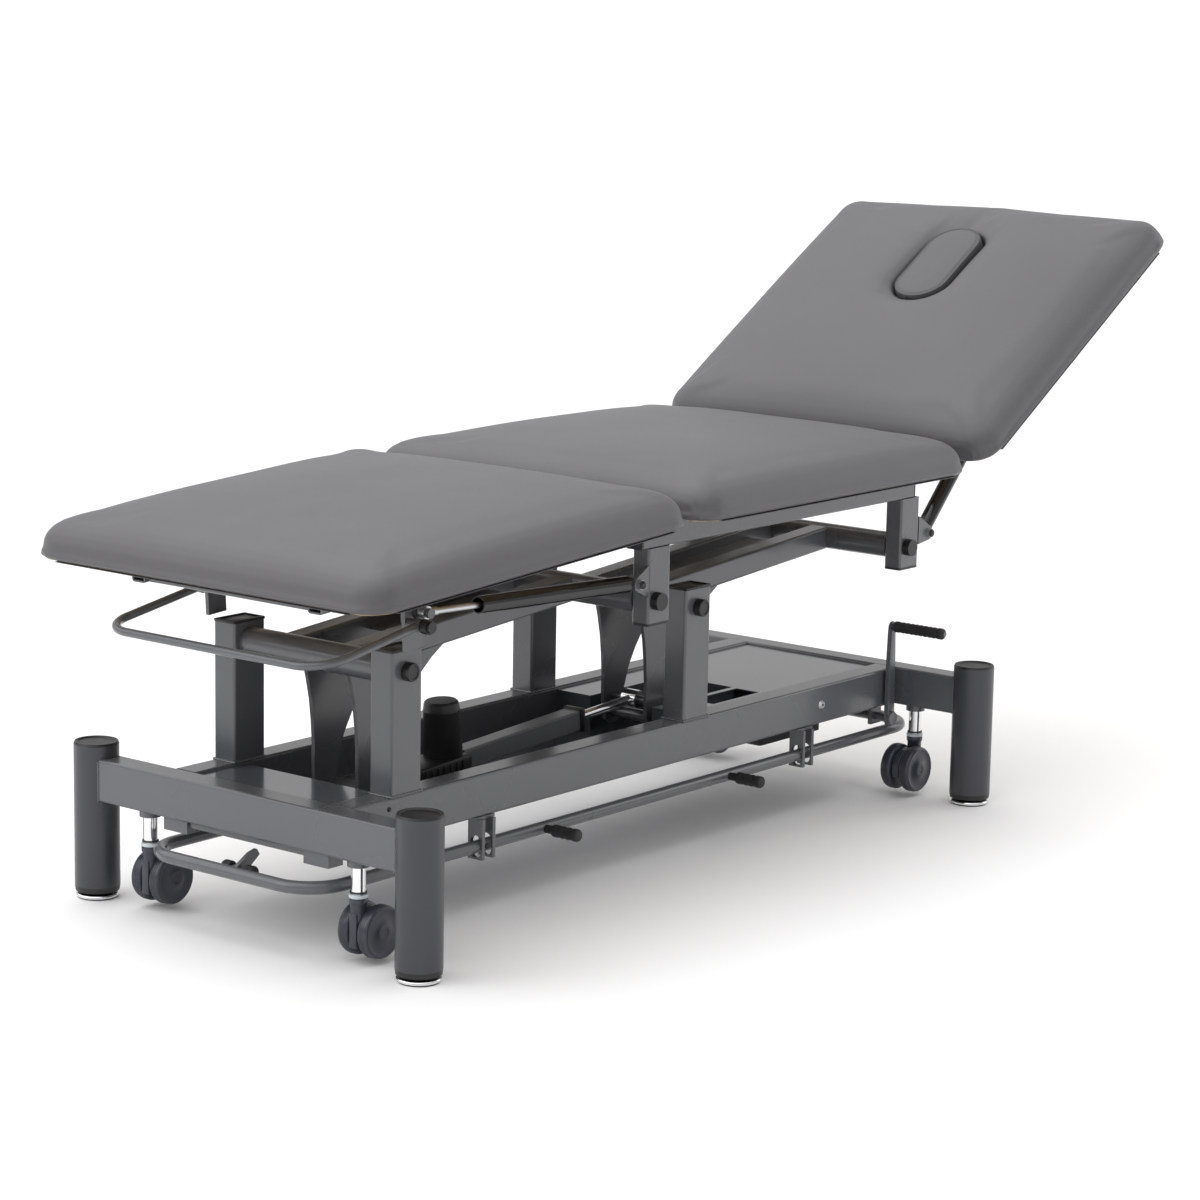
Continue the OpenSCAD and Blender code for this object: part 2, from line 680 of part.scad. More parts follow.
module leg_spring_cylinders() {
    color("#1a1a1c") place() both() leg_spring_space() spring_cylinder(320, 12, 10.3);
}
module leg_spring_rods() {
    color("#b9bbc0") place() both() leg_spring_space() translate([norm(leg_vec), 0, 0]) spring_rod(180, 4.5);
}
// U-shaped release handle at the foot end
module bail_space() {
    translate([bail_piv[0], 0, bail_piv[1]]) rotate([0, -bail_angle, 0]) children();
}
module release_bail() {
    color("#5b5f66") place() bail_space() {
        both() {
            difference() {
                union() {
                    bar_y(0, 0, 9, bail_y - 7, bail_y + 7);
                    translate([-bail_len + bail_corner + seam, bail_y, 0]) rotate([0, 90, 0])
                        cylinder(r = bail_r, h = bail_len - bail_corner - seam);
                }
                bar_y(0, 0, spring_pin_r + fit, 150, 250);
            }
            translate([-bail_len + bail_corner, bail_y - bail_corner, 0]) rotate([0, 0, 90])
                rotate_extrude(angle = 90) translate([bail_corner, 0]) circle(r = bail_r, $fn = 32);
        }
        bar_y(-bail_len, 0, bail_r, -bail_y + bail_corner + seam, bail_y - bail_corner - seam);
    }
}
module bail_knobs() {
    color("#1c1c1e") place() bail_space() both() difference() {
        union() {
            bar_y(0, 0, 10, bail_y + 9.5, bail_y + 20);
            bar_y(0, 0, 8, bail_y + 19, bail_y + 24);
        }
        bar_y(0, 0, spring_pin_r + fit, 150, bail_y + 10);
    }
}

// ---- casters ----
module caster_stems() {
    color("#c9c9cc") place() {
        for (x = [-leg_x, leg_x], y = [-caster_y, caster_y]) translate([x, y, 0]) {
            translate([0, 0, 62]) cylinder(r = swivel_r, h = 40);
            translate([0, 0, 92]) cylinder(r = stem_r, h = 93);
            translate([0, 0, 92]) cylinder(r = 12, h = 4);
        }
    }
}
// s is the direction in which the wheels trail
module caster_fork(x, y, s) {
    color("#33353b") place() translate([x, y, 0]) difference() {
        union() {
            translate([0, 0, 81.5]) cylinder(r = 14, h = 10);
            // hood over the wheels
            intersection() {
                bar_y(s * caster_trail, caster_z, 33, -6, 6);
                box([-60, -6, 30], [60, 6, 90]);
            }
            hull() {
                bar_y(s * caster_trail, caster_z, 8, -6, 6);
                translate([0, 0, 60]) cylinder(r = 6, h = 26);
            }
        }
        translate([0, 0, 61.6]) cylinder(r = swivel_r + fit, h = 60);
        bar_y(s * caster_trail, caster_z, axle_r + fit, -10, 10);
    }
}
module caster_wheels(x, y, s) {
    color("#3a3d44") place() translate([x + s * caster_trail, y, caster_z]) {
        bar_y(0, 0, axle_r, -wheel_out + 4, wheel_out - 4);
        both() difference() {
            union() {
                bar_y(0, 0, caster_r, wheel_in + 1.5, wheel_out - 3);
                bar_y(0, 0, caster_r - 3, wheel_in, wheel_out);
            }
            difference() {
                bar_y(0, 0, caster_r - 8, wheel_out - 3, wheel_out + 1);
                bar_y(0, 0, 14, wheel_out - 4, wheel_out + 2);
            }
            bar_y(0, 0, axle_r + seam, wheel_in - 1, wheel_out - 4 + seam);
        }
    }
}
module caster_fork_fn() { caster_fork(-leg_x, -caster_y, 1); }
module caster_fork_ff() { caster_fork(-leg_x, caster_y, 1); }
module caster_fork_hn() { caster_fork(leg_x, -caster_y, -1); }
module caster_fork_hf() { caster_fork(leg_x, caster_y, -1); }
module caster_wheels_fn() { caster_wheels(-leg_x, -caster_y, 1); }
module caster_wheels_ff() { caster_wheels(-leg_x, caster_y, 1); }
module caster_wheels_hn() { caster_wheels(leg_x, -caster_y, -1); }
module caster_wheels_hf() { caster_wheels(leg_x, caster_y, -1); }
// hand crank that lowers the casters
module crank_lever() {
    color("#5b5f66") place() translate([crank_x, 0, crank_z]) {
        bar_y(0, 0, shaft_r, -crank_y - 4, 152);
        difference() {
            bar_y(0, 0, 13, -crank_y - 12, -crank_y);
            bar_y(0, 0, shaft_r, -crank_y - 4, -100);
        }
        difference() {
            plate_y(-crank_y - 8, -crank_y) union() {
                translate([-9, 0]) square([18, crank_len]);
                translate([0, crank_len]) circle(r = 9);
            }
            bar_y(0, 0, 13, -crank_y - 20, 0);
        }
        bar_y(0, crank_len, 4, -crank_y - 104, -crank_y - 8);
    }
}
module crank_grip() {
    color("#1c1c1e") place() translate([crank_x, 0, crank_z + crank_len]) difference() {
        union() {
            bar_y(0, 0, 7.5, -crank_y - 100, -crank_y - 10);
            bar_y(0, 0, 9, -crank_y - 100, -crank_y - 92);
            bar_y(0, 0, 9, -crank_y - 16, -crank_y - 9);
        }
        bar_y(0, 0, 4 + fit, -crank_y - 110, 0);
    }
}
// foot bar all the way round under the base
module foot_bar() {
    color("#5b5f66") place() translate([0, 0, ring_z]) {
        both() {
            translate([-ring_x + ring_corner + seam, ring_y, 0]) rotate([0, 90, 0])
                cylinder(r = ring_r, h = 2 * (ring_x - ring_corner - seam));
            for (s = [0, 1]) mirror([s, 0, 0])
                translate([ring_x - ring_corner, ring_y - ring_corner, 0]) rotate_extrude(angle = 90)
                    translate([ring_corner, 0]) circle(r = ring_r, $fn = 32);
        }
        for (x = [-ring_x, ring_x])
            bar_y(x, 0, ring_r, -ring_y + ring_corner + seam, ring_y - ring_corner - seam);
        // link at the foot end, with the pin that carries two knobs
        difference() {
            plate_y(-11, -5) polygon([[-694, -3], [-686, -8], [-674, -6], [-646, 15],
                [-651, 23], [-664, 20], [-692, 4]]);
            translate([-ring_x, 0, 0]) rotate([90, 0, 0]) cylinder(r = ring_r + seam, h = 60, center = true);
            bar_y(link_x, 0, 4 + seam, -20, 10);
        }
        bar_y(link_x, 0, 4, -34, 20);
    }
}
module foot_pegs() {
    color("#1c1c1e") place() translate([0, 0, ring_z]) both() for (x = [-235, 195]) {
        difference() {
            bar_y(x, 0, 6, ring_y + 4, ring_y + 45);
            translate([x - 20, ring_y, 0]) rotate([0, 90, 0]) cylinder(r = ring_r, h = 40);
        }
        bar_y(x, 0, 9, ring_y + 24, ring_y + 68);
    }
    color("#1c1c1e") place() translate([0, 0, ring_z]) for (y = [-36, 6]) difference() {
        bar_y(link_x, 0, 9, y, y + 16);
        bar_y(link_x, 0, 4 + seam, -34.1, 20.1);
    }
}

side_rails();
cross_rails();
legs();
leg_plugs();
posts();
post_caps();
foot_tray();
well_pan();
head_tray();
control_box();
base_brackets();
base_fasteners();
levelling_foot_fn();
levelling_foot_ff();
levelling_foot_hn();
levelling_foot_hf();
foot_arm();
foot_levers();
head_arm();
head_levers();
actuator_housing();
actuator_tube();
actuator_rod();
seat_frame();
drop_brackets();
frame_caps();
upper_pins();
hinge_pins();
seat_board();
seat_cushion();
head_frame();
head_board();
head_cushion();
face_plug();
head_spring_cylinders();
head_spring_rods();
leg_frame();
link_plates();
release_valve();
leg_board();
leg_cushion();
leg_spring_cylinders();
leg_spring_rods();
release_bail();
bail_knobs();
caster_stems();
caster_fork_fn();
caster_fork_ff();
caster_fork_hn();
caster_fork_hf();
caster_wheels_fn();
caster_wheels_ff();
caster_wheels_hn();
caster_wheels_hf();
crank_lever();
crank_grip();
foot_bar();
foot_pegs();
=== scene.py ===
# %% [markdown]
# # A three-section treatment couch
# The couch stands on four round legs, rises on two sets of lift arms, and carries three soft cushions.
# Its steel frame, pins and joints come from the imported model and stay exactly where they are.
# This file adds what a maker adds last: paint, stretched vinyl covers, moulded casters and small fittings.

import math

import bmesh
import bpy
import json
from mathutils import Matrix, Vector, noise


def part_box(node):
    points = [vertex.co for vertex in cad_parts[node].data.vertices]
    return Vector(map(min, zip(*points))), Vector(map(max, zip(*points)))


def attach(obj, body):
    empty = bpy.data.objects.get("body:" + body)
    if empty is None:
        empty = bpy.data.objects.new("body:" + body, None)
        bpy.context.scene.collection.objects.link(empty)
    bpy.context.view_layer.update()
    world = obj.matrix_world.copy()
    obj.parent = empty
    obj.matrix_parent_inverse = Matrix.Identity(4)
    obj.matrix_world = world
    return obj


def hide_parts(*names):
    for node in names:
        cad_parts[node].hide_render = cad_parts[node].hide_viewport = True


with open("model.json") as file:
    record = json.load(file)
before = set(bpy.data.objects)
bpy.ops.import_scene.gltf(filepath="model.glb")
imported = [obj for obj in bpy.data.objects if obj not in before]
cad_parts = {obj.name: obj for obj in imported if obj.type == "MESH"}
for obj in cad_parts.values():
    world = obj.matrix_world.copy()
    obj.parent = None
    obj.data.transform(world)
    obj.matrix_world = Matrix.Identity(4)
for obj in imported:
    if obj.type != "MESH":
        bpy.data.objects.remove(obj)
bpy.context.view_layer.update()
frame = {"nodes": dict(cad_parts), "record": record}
nodes = frame["nodes"]
scene = bpy.context.scene

# %% [markdown]
# ## Measuring from the middle of the base
# Drawings of the base count from its middle, in millimetres. The frame's own zero is the middle of the
# whole couch, so one small function turns a drawing's numbers into the frame's metres.

# %% Places
MIDDLE = 211.1  # the couch's middle, from the base's middle, in mm


def at(x, y, z):
    return Vector(((x - MIDDLE) / 1000, y / 1000, z / 1000))


X = Vector((1, 0, 0))
Y = Vector((0, 1, 0))
Z = Vector((0, 0, 1))
leg_low, leg_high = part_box("legs")
print("legs span", round(leg_high.x - leg_low.x, 4), "m along the couch")

# %% [markdown]
# ## Tools for making pieces
# Most small fittings are either turned on a lathe or cut from a block with eased edges.
# `turned` spins a line of points round an axis, and `block` bevels a cube. `make_piece` closes the
# mesh, points its faces outwards, gives it its finish, and lets it ride on its body.


# %% Piece makers
def make_piece(name, bm, body, finish, sharp=38):
    bmesh.ops.remove_doubles(bm, verts=bm.verts, dist=2e-6)
    bmesh.ops.recalc_face_normals(bm, faces=bm.faces)
    mesh = bpy.data.meshes.new(name)
    bm.to_mesh(mesh)
    bm.free()
    mesh.shade_smooth()
    mesh.set_sharp_from_angle(angle=math.radians(sharp))
    mesh.materials.append(finish)
    piece = bpy.data.objects.new(name, mesh)
    scene.collection.objects.link(piece)
    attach(piece, body)
    return piece


def turned(bm, profile, centre, axis, steps=48):
    across = axis.orthogonal().normalized()
    points = []
    for radius, along in profile:
        points.append(bm.verts.new(centre + across * radius / 1000 + axis * along / 1000))
    lines = [bm.edges.new(pair) for pair in zip(points, points[1:])]
    bmesh.ops.spin(
        bm,
        geom=points + lines,
        cent=centre,
        axis=axis,
        angle=math.tau,
        steps=steps,
        use_merge=True,
    )


def ease(bm, edges, size, segments=2):
    return bmesh.ops.bevel(
        bm,
        geom=list(edges),
        offset=size,
        offset_type="OFFSET",
        affect="EDGES",
        segments=segments,
        profile=0.5,
        material=-1,
    )


def block(bm, low, high, easing=0.001, turn=None):
    made = bmesh.ops.create_cube(bm, size=1)["verts"]
    bmesh.ops.scale(bm, vec=high - low, verts=made)
    bmesh.ops.translate(bm, vec=(high + low) / 2, verts=made)
    edges = {e for v in made for e in v.link_edges}
    new = ease(bm, edges, easing)["verts"]
    whole = set(new) | {v for v in made if v.is_valid}
    if turn is not None:
        bmesh.ops.transform(bm, matrix=turn, verts=list(whole))
    return whole


def tube_along(name, points, radius, closed=False, widths=None):
    """A round bead or cord along a line of points, as a mesh."""
    curve = bpy.data.curves.new(name, "CURVE")
    curve.dimensions = "3D"
    curve.bevel_depth = radius
    curve.bevel_resolution = 2
    line = curve.splines.new("POLY")
    line.points.add(len(points) - 1)
    for i, p in enumerate(points):
        line.points[i].co = (p.x, p.y, p.z, 1)
        line.points[i].radius = widths[i] if widths else 1
    line.use_cyclic_u = closed
    curve.use_fill_caps = not closed
    holder = bpy.data.objects.new(name + "_line", curve)
    scene.collection.objects.link(holder)
    bpy.context.view_layer.update()
    mesh = bpy.data.meshes.new_from_object(holder)
    bpy.data.objects.remove(holder)
    return mesh


def bead(bm, points, radius, closed=False, widths=None):
    mesh = tube_along("bead", points, radius, closed, widths)
    bm.from_mesh(mesh)
    bpy.data.meshes.remove(mesh)


print("makers ready")

# %% [markdown]
# ## Finishes
# Every finish starts from the piece's own coordinates in metres, so grain has its true size.
# Three noises do most of the work: a wide one shifts the colour a little, a middle one varies the
# gloss, and a fine one lifts the surface. Paint, plastic, rubber and vinyl differ in their numbers.


# %% Finish maker
def link(tree, a, b):
    tree.links.new(a, b)


def noise_node(tree, coords, scale, detail=3.0, stretch=None):
    node = tree.nodes.new("ShaderNodeTexNoise")
    node.inputs["Scale"].default_value = scale
    node.inputs["Detail"].default_value = detail
    if stretch:
        mapping = tree.nodes.new("ShaderNodeMapping")
        mapping.inputs["Scale"].default_value = stretch
        link(tree, coords, mapping.inputs["Vector"])
        coords = mapping.outputs["Vector"]
    link(tree, coords, node.inputs["Vector"])
    return node


def ramp_node(tree, source, low, high, start=0.35, end=0.65):
    node = tree.nodes.new("ShaderNodeMapRange")
    node.inputs["From Min"].default_value = start
    node.inputs["From Max"].default_value = end
    node.inputs["To Min"].default_value = low
    node.inputs["To Max"].default_value = high
    link(tree, source, node.inputs["Value"])
    return node


def shade_node(tree, source, dark, light):
    node = tree.nodes.new("ShaderNodeMix")
    node.data_type = "RGBA"
    node.inputs["A"].default_value = (*dark, 1)
    node.inputs["B"].default_value = (*light, 1)
    link(tree, source, node.inputs["Factor"])
    return node


def bump_node(tree, height, depth, strength=1.0, under=None):
    node = tree.nodes.new("ShaderNodeBump")
    node.inputs["Distance"].default_value = depth
    node.inputs["Strength"].default_value = strength
    link(tree, height, node.inputs["Height"])
    if under:
        link(tree, under.outputs["Normal"], node.inputs["Normal"])
    return node


def finish_of(
    name, colour, gloss, spread=0.08, wide=5.0, fine=900.0, depth=0.00004, metal=0.0, stretch=None
):
    """A finish whose colour, gloss and surface all vary a little."""
    material = bpy.data.materials.new(name)
    material.use_nodes = True
    tree = material.node_tree
    shader = tree.nodes["Principled BSDF"]
    coords = tree.nodes.new("ShaderNodeTexCoord").outputs["Object"]
    dark = [c * (1 - spread) for c in colour]
    light = [min(1.0, c * (1 + spread)) for c in colour]
    patches = noise_node(tree, coords, wide, 2.0)
    tone = ramp_node(tree, patches.outputs["Fac"], 0.0, 1.0, 0.3, 0.7)
    paint = shade_node(tree, tone.outputs["Result"], dark, light)
    link(tree, paint.outputs["Result"], shader.inputs["Base Color"])
    cloud = noise_node(tree, coords, wide * 2.5, 3.0, stretch)
    rough = ramp_node(tree, cloud.outputs["Fac"], gloss * 0.93, gloss * 1.08)
    link(tree, rough.outputs["Result"], shader.inputs["Roughness"])
    grain = noise_node(tree, coords, fine, 2.0, stretch)
    lift = bump_node(tree, grain.outputs["Fac"], depth)
    link(tree, lift.outputs["Normal"], shader.inputs["Normal"])
    shader.inputs["Metallic"].default_value = metal
    return material


print("finish maker ready")

# %% [markdown]
# ## Paint on the steel
# The frame is powder coated: the powder melts into a tough film with a faint orange-peel surface.
# The rails and posts are semi-gloss, the trays a little glossier, and the round legs more satin and
# darker. A thin clear coat on the shader gives the film its wet-looking highlight.

# %% Paints
paint_frame = finish_of("frame powder coat", (0.088, 0.092, 0.101), 0.28, 0.025, 2.5, 420.0, 0.00002)
paint_frame.node_tree.nodes["Principled BSDF"].inputs["Coat Weight"].default_value = 0.35
paint_frame.node_tree.nodes["Principled BSDF"].inputs["Coat Roughness"].default_value = 0.16
paint_legs = finish_of("leg powder coat", (0.040, 0.042, 0.049), 0.34, 0.03, 2.5, 450.0, 0.00002)
paint_tray = finish_of("tray powder coat", (0.074, 0.082, 0.095), 0.18, 0.025, 2.0, 350.0, 0.000015)
paint_tray.node_tree.nodes["Principled BSDF"].inputs["Coat Weight"].default_value = 0.5
paint_tray.node_tree.nodes["Principled BSDF"].inputs["Coat Roughness"].default_value = 0.08
paint_ram = finish_of("actuator grey", (0.15, 0.157, 0.168), 0.36, 0.03, 3.0, 500.0, 0.00002)
print("paints made")

# %% [markdown]
# ## Plastics, rubber and bare metals
# Moulded plastic has a fine etched texture that dulls it, and rubber is duller still. The gas springs'
# cylinders are lacquered and almost a mirror. Chrome and zinc are metals: their colour sits in the
# reflection, so only gloss and faint drawing marks tell them apart.

# %% Plastics and metals
plastic_black = finish_of("moulded black", (0.011, 0.011, 0.012), 0.42, 0.15, 20.0, 1600.0, 0.00004)
plastic_caster = finish_of("moulded blue grey", (0.036, 0.039, 0.054), 0.30, 0.05, 6.0, 900.0, 0.00002)
plastic_tread = finish_of("tread", (0.026, 0.028, 0.036), 0.5, 0.12, 20.0, 1500.0, 0.00005)
plastic_pale = finish_of("pale ring", (0.55, 0.60, 0.64), 0.28, 0.05, 30.0, 900.0, 0.00002)
rubber_black = finish_of("black rubber", (0.014, 0.014, 0.015), 0.62, 0.2, 25.0, 2200.0, 0.00006)
lacquer_black = finish_of("black lacquer", (0.008, 0.008, 0.009), 0.13, 0.1, 10.0, 400.0, 0.00001)
metal_chrome = finish_of("chrome", (0.80, 0.80, 0.81), 0.10, 0.03, 12.0, 600.0, 0.00001, 1.0)
metal_zinc = finish_of("zinc", (0.58, 0.59, 0.60), 0.34, 0.08, 18.0, 900.0, 0.00003, 1.0, (1, 1, 6))
metal_dark = finish_of("blackened steel", (0.030, 0.030, 0.033), 0.32, 0.12, 25.0, 1100.0, 0.00003, 0.6)
metal_brass = finish_of("brass", (0.62, 0.42, 0.14), 0.26, 0.08, 30.0, 1200.0, 0.00002, 1.0)
print("plastics and metals made")

# %% [markdown]
# ## Plywood
# The boards under the cushions are birch plywood. The face veneer has long grain, so its noise is
# stretched along the board, with a second, finer noise for pores.


# %% Plywood
def plywood():
    veneer = (0.50, 0.36, 0.21)
    along = (0.2, 2, 2)
    material = finish_of("birch plywood", veneer, 0.55, 0.1, 6.0, 500.0, 0.00005, 0.0, along)
    tree = material.node_tree
    shader = tree.nodes["Principled BSDF"]
    coords = tree.nodes.new("ShaderNodeTexCoord").outputs["Object"]
    grain = noise_node(tree, coords, 30.0, 6.0, (0.12, 1.6, 1.6))
    tone = ramp_node(tree, grain.outputs["Fac"], 0.0, 1.0, 0.35, 0.7)
    wood = shade_node(tree, tone.outputs["Result"], (0.40, 0.26, 0.14), (0.60, 0.45, 0.28))
    link(tree, wood.outputs["Result"], shader.inputs["Base Color"])
    return material


wood_birch = plywood()
print("plywood made")

# %% [markdown]
# ## Vinyl covers
# Upholstery vinyl is embossed with a pebble grain under a millimetre across. Two cell patterns of
# different size make the pebbles and their creases, and a soft noise under them keeps the grain from
# looking printed. The cover is satin, with slightly duller patches where hands and backs rub it.


# %% Vinyl
def vinyl(name, colour, gloss):
    material = finish_of(name, colour, gloss, 0.014, 1.8, 260.0, 0.00004)
    tree = material.node_tree
    shader = tree.nodes["Principled BSDF"]
    coords = tree.nodes.new("ShaderNodeTexCoord").outputs["Object"]
    below = tree.nodes["Bump"]
    for scale, depth in ((620.0, 0.00011), (1150.0, 0.00005)):
        cells = tree.nodes.new("ShaderNodeTexVoronoi")
        cells.feature = "DISTANCE_TO_EDGE"
        cells.inputs["Scale"].default_value = scale
        cells.inputs["Randomness"].default_value = 1.0
        link(tree, coords, cells.inputs["Vector"])
        pebbles = ramp_node(tree, cells.outputs["Distance"], 0.0, 1.0, 0.0, 0.22)
        below = bump_node(tree, pebbles.outputs["Result"], depth, 0.8, below)
    link(tree, below.outputs["Normal"], shader.inputs["Normal"])
    shader.inputs["Sheen Weight"].default_value = 0.08
    shader.inputs["Sheen Roughness"].default_value = 0.5
    return material


vinyl_cover = vinyl("grey vinyl", (0.080, 0.077, 0.084), 0.42)
vinyl_plug = vinyl("grey vinyl, plug", (0.066, 0.065, 0.073), 0.38)
vinyl_piping = finish_of("vinyl piping", (0.056, 0.055, 0.061), 0.42, 0.03, 6.0, 700.0, 0.00003)
thread = finish_of("thread", (0.055, 0.055, 0.06), 0.6, 0.15, 60.0, 2500.0, 0.00008)
print("vinyl made")

# %% [markdown]
# ## Painting the frame's own nodes
# Each node names the finish it takes in the couch's record. The nodes keep their exact shape, and
# only their material changes.

# %% Nodes get their finishes
finishes = {
    "frame_paint": paint_frame,
    "leg_paint": paint_legs,
    "tray_paint": paint_tray,
    "actuator_grey": paint_ram,
    "black_plastic": plastic_black,
    "caster_plastic": plastic_caster,
    "chrome": metal_chrome,
    "steel": metal_zinc,
    "spring_black": lacquer_black,
    "brass": metal_brass,
    "plywood": wood_birch,
    "vinyl": vinyl_cover,
}
for part in frame["record"]["subparts"]:
    mesh = nodes[part["node"]].data
    mesh.materials.clear()
    mesh.materials.append(finishes[part["material_slot"]])

# %% [markdown]
# ## Where the sections lie
# The head section slopes up from its hinge and the leg section slopes slightly down from its own.
# Cushions are easier to shape lying flat, so each is made at zero and then carried to its section
# by one matrix: along the section, across it, and up off its board.


# %% Section matrices
def section(hinge, slope, towards):
    c = math.cos(math.radians(slope))
    s = math.sin(math.radians(slope))
    along = Vector((towards * c, 0, s))
    across = Vector((0, towards, 0))
    up = Vector((-towards * s, 0, c))
    return Matrix.Translation(hinge) @ Matrix((along, across, up)).transposed().to_4x4()


head_place = section(at(636, 0, 528), 31.4, 1)
leg_place = section(at(-92, 0, 528), -3.6, -1)
seat_place = Matrix.Translation(at(-86, 0, 534))
print("head section rises to", round((head_place @ Vector((0.645, 0, 0))).z, 3), "m")

# %% [markdown]
# ## Cushion blanks
# A couch cushion is foam on a board, wrapped in one sheet of vinyl. The blank is a slab with rounded
# corners and a deep rounded brim. It starts a little smaller than it ends, because the cover swells.


# %% Blank maker
def blank(length, width, thick, corner, brim):
    bm = bmesh.new()
    bmesh.ops.create_cube(bm, size=1)
    bmesh.ops.scale(bm, vec=(length, width, thick), verts=bm.verts)
    bmesh.ops.translate(bm, vec=(length / 2, 0, thick / 2), verts=bm.verts)
    upright = [e for e in bm.edges if abs(e.verts[0].co.z - e.verts[1].co.z) > thick / 2]
    ease(bm, upright, corner, 10)
    top = [e for e in bm.edges if min(v.co.z for v in e.verts) > thick - 1e-5]
    ease(bm, top, brim, 8)
    foot = [e for e in bm.edges if max(v.co.z for v in e.verts) < 1e-5]
    ease(bm, foot, 0.006, 3)
    bmesh.ops.recalc_face_normals(bm, faces=bm.faces)
    return bm


def to_object(name, bm):
    mesh = bpy.data.meshes.new(name)
    bm.to_mesh(mesh)
    bm.free()
    piece = bpy.data.objects.new(name, mesh)
    scene.collection.objects.link(piece)
    return piece


def settle(piece):
    """Makes a piece's modifiers part of its mesh."""
    bpy.context.view_layer.update()
    seen = piece.evaluated_get(bpy.context.evaluated_depsgraph_get())
    mesh = bpy.data.meshes.new_from_object(seen)
    piece.modifiers.clear()
    old = piece.data
    piece.data = mesh
    bpy.data.meshes.remove(old)


def remesh(piece, size):
    step = piece.modifiers.new("even mesh", "REMESH")
    step.mode = "VOXEL"
    step.voxel_size = size
    settle(piece)


print("blank maker ready")

# %% [markdown]
# ## The face opening
# The head cushion has a rounded slot to breathe through, and a plug that fills it. The distance from
# a point to the slot's edge shapes three things: the cut, the soft dip round it, and the plug's seam.

# %% Slot
SLOT_U = 0.430  # middle of the slot along the head section
SLOT_HALF = 0.050  # half its length between the round ends
SLOT_R = 0.050  # radius of the round ends


def slot_gap(u, v):
    """Distance outside the slot's edge, below zero inside it."""
    past = max(abs(u - SLOT_U) - SLOT_HALF, 0)
    return math.hypot(past, v) - SLOT_R


def slot_line(inset, count, height=0.0):
    """Evenly spaced points on a line that far inside the slot's edge."""
    radius = SLOT_R - inset
    straight = 2 * SLOT_HALF
    bend = math.pi * radius
    points = []
    for i in range(count):
        s = (2 * straight + 2 * bend) * i / count
        if s < straight:
            u, v = s - SLOT_HALF, -radius
        elif s < straight + bend:
            a = (s - straight) / radius - math.pi / 2
            u, v = SLOT_HALF + radius * math.cos(a), radius * math.sin(a)
        elif s < 2 * straight + bend:
            u, v = SLOT_HALF - (s - straight - bend), radius
        else:
            a = (s - 2 * straight - bend) / radius + math.pi / 2
            u, v = -SLOT_HALF + radius * math.cos(a), radius * math.sin(a)
        points.append(Vector((SLOT_U + u, v, height)))
    return points


def cut_slot(piece, shift, grow):
    bm = bmesh.new()
    ring = [bm.verts.new((p.x + shift, p.y, -0.05)) for p in slot_line(-grow, 64)]
    face = bm.faces.new(ring)
    up = bmesh.ops.extrude_face_region(bm, geom=[face])["geom"]
    bmesh.ops.translate(bm, vec=(0, 0, 0.3), verts=[g for g in up if isinstance(g, bmesh.types.BMVert)])
    bmesh.ops.recalc_face_normals(bm, faces=bm.faces)
    cutter = to_object("cutter", bm)
    step = piece.modifiers.new("slot", "BOOLEAN")
    step.operation = "DIFFERENCE"
    step.solver = "EXACT"
    step.object = cutter
    settle(piece)
    bpy.data.objects.remove(cutter)


print("slot runs", round(2 * (SLOT_HALF + SLOT_R), 3), "m along the head section")

# %% [markdown]
# ## Swelling the cushions
# Foam pushes its cover outwards, most in the middle of a face and least at an edge. Blender's cloth
# with a little pressure does the same. The underside and the bottom edge are stapled to the board, so
# they are pinned, and no point may travel further than a cap. The result is kept as a plain mesh.


# %% Swell
def swell(piece, pressure, cap, held):
    piece.data.shade_smooth()
    start = [v.co.copy() for v in piece.data.vertices]
    group = piece.vertex_groups.new(name="held")
    group.add([v.index for v in piece.data.vertices if held(v.co)], 1.0, "REPLACE")
    step = piece.modifiers.new("swell", "CLOTH")
    cloth = step.settings
    cloth.quality = 4
    cloth.use_pressure = True
    cloth.uniform_pressure_force = pressure
    cloth.vertex_group_mass = "held"
    cloth.effector_weights.gravity = 0
    cloth.tension_stiffness = 20
    cloth.compression_stiffness = 20
    cloth.bending_stiffness = 4
    step.point_cache.frame_start = 1
    step.point_cache.frame_end = 20
    for number in range(1, 21):
        scene.frame_set(number)
    seen = piece.evaluated_get(bpy.context.evaluated_depsgraph_get())
    swollen = [v.co.copy() for v in seen.data.vertices]
    piece.modifiers.remove(step)
    scene.frame_set(1)
    far = 0
    for vertex, before, after in zip(piece.data.vertices, start, swollen):
        move = after - before
        if move.length > cap:
            move = move.normalized() * cap
        vertex.co = before + move
        far = max(far, move.length)
    print(piece.name, "swelled by up to", round(far * 1000, 1), "mm")


# %% [markdown]
# ## Crown, gathers and dip
# Three things a short simulation leaves out are pressed in by hand. The top is crowned, so it falls
# away towards every side. The cover is gathered at the bottom of each corner, where it is folded under
# the board. On the head cushion the top sinks softly round the face opening. `rise` is the arc from an
# edge up to the level middle, and the arcs along and across are multiplied, so corners fall furthest.


# %% Hand shaping
EDGE_DROP = 0.017  # how far the top falls towards the edges
ARC_REACH = 0.27  # how far in from an edge the top is still rising


def rise(inside):
    """Height of the pillow's arc, from 0 at an edge to 1 well inside it."""
    return 1 - max(0.0, 1 - max(0.0, inside) / ARC_REACH) ** 2.2


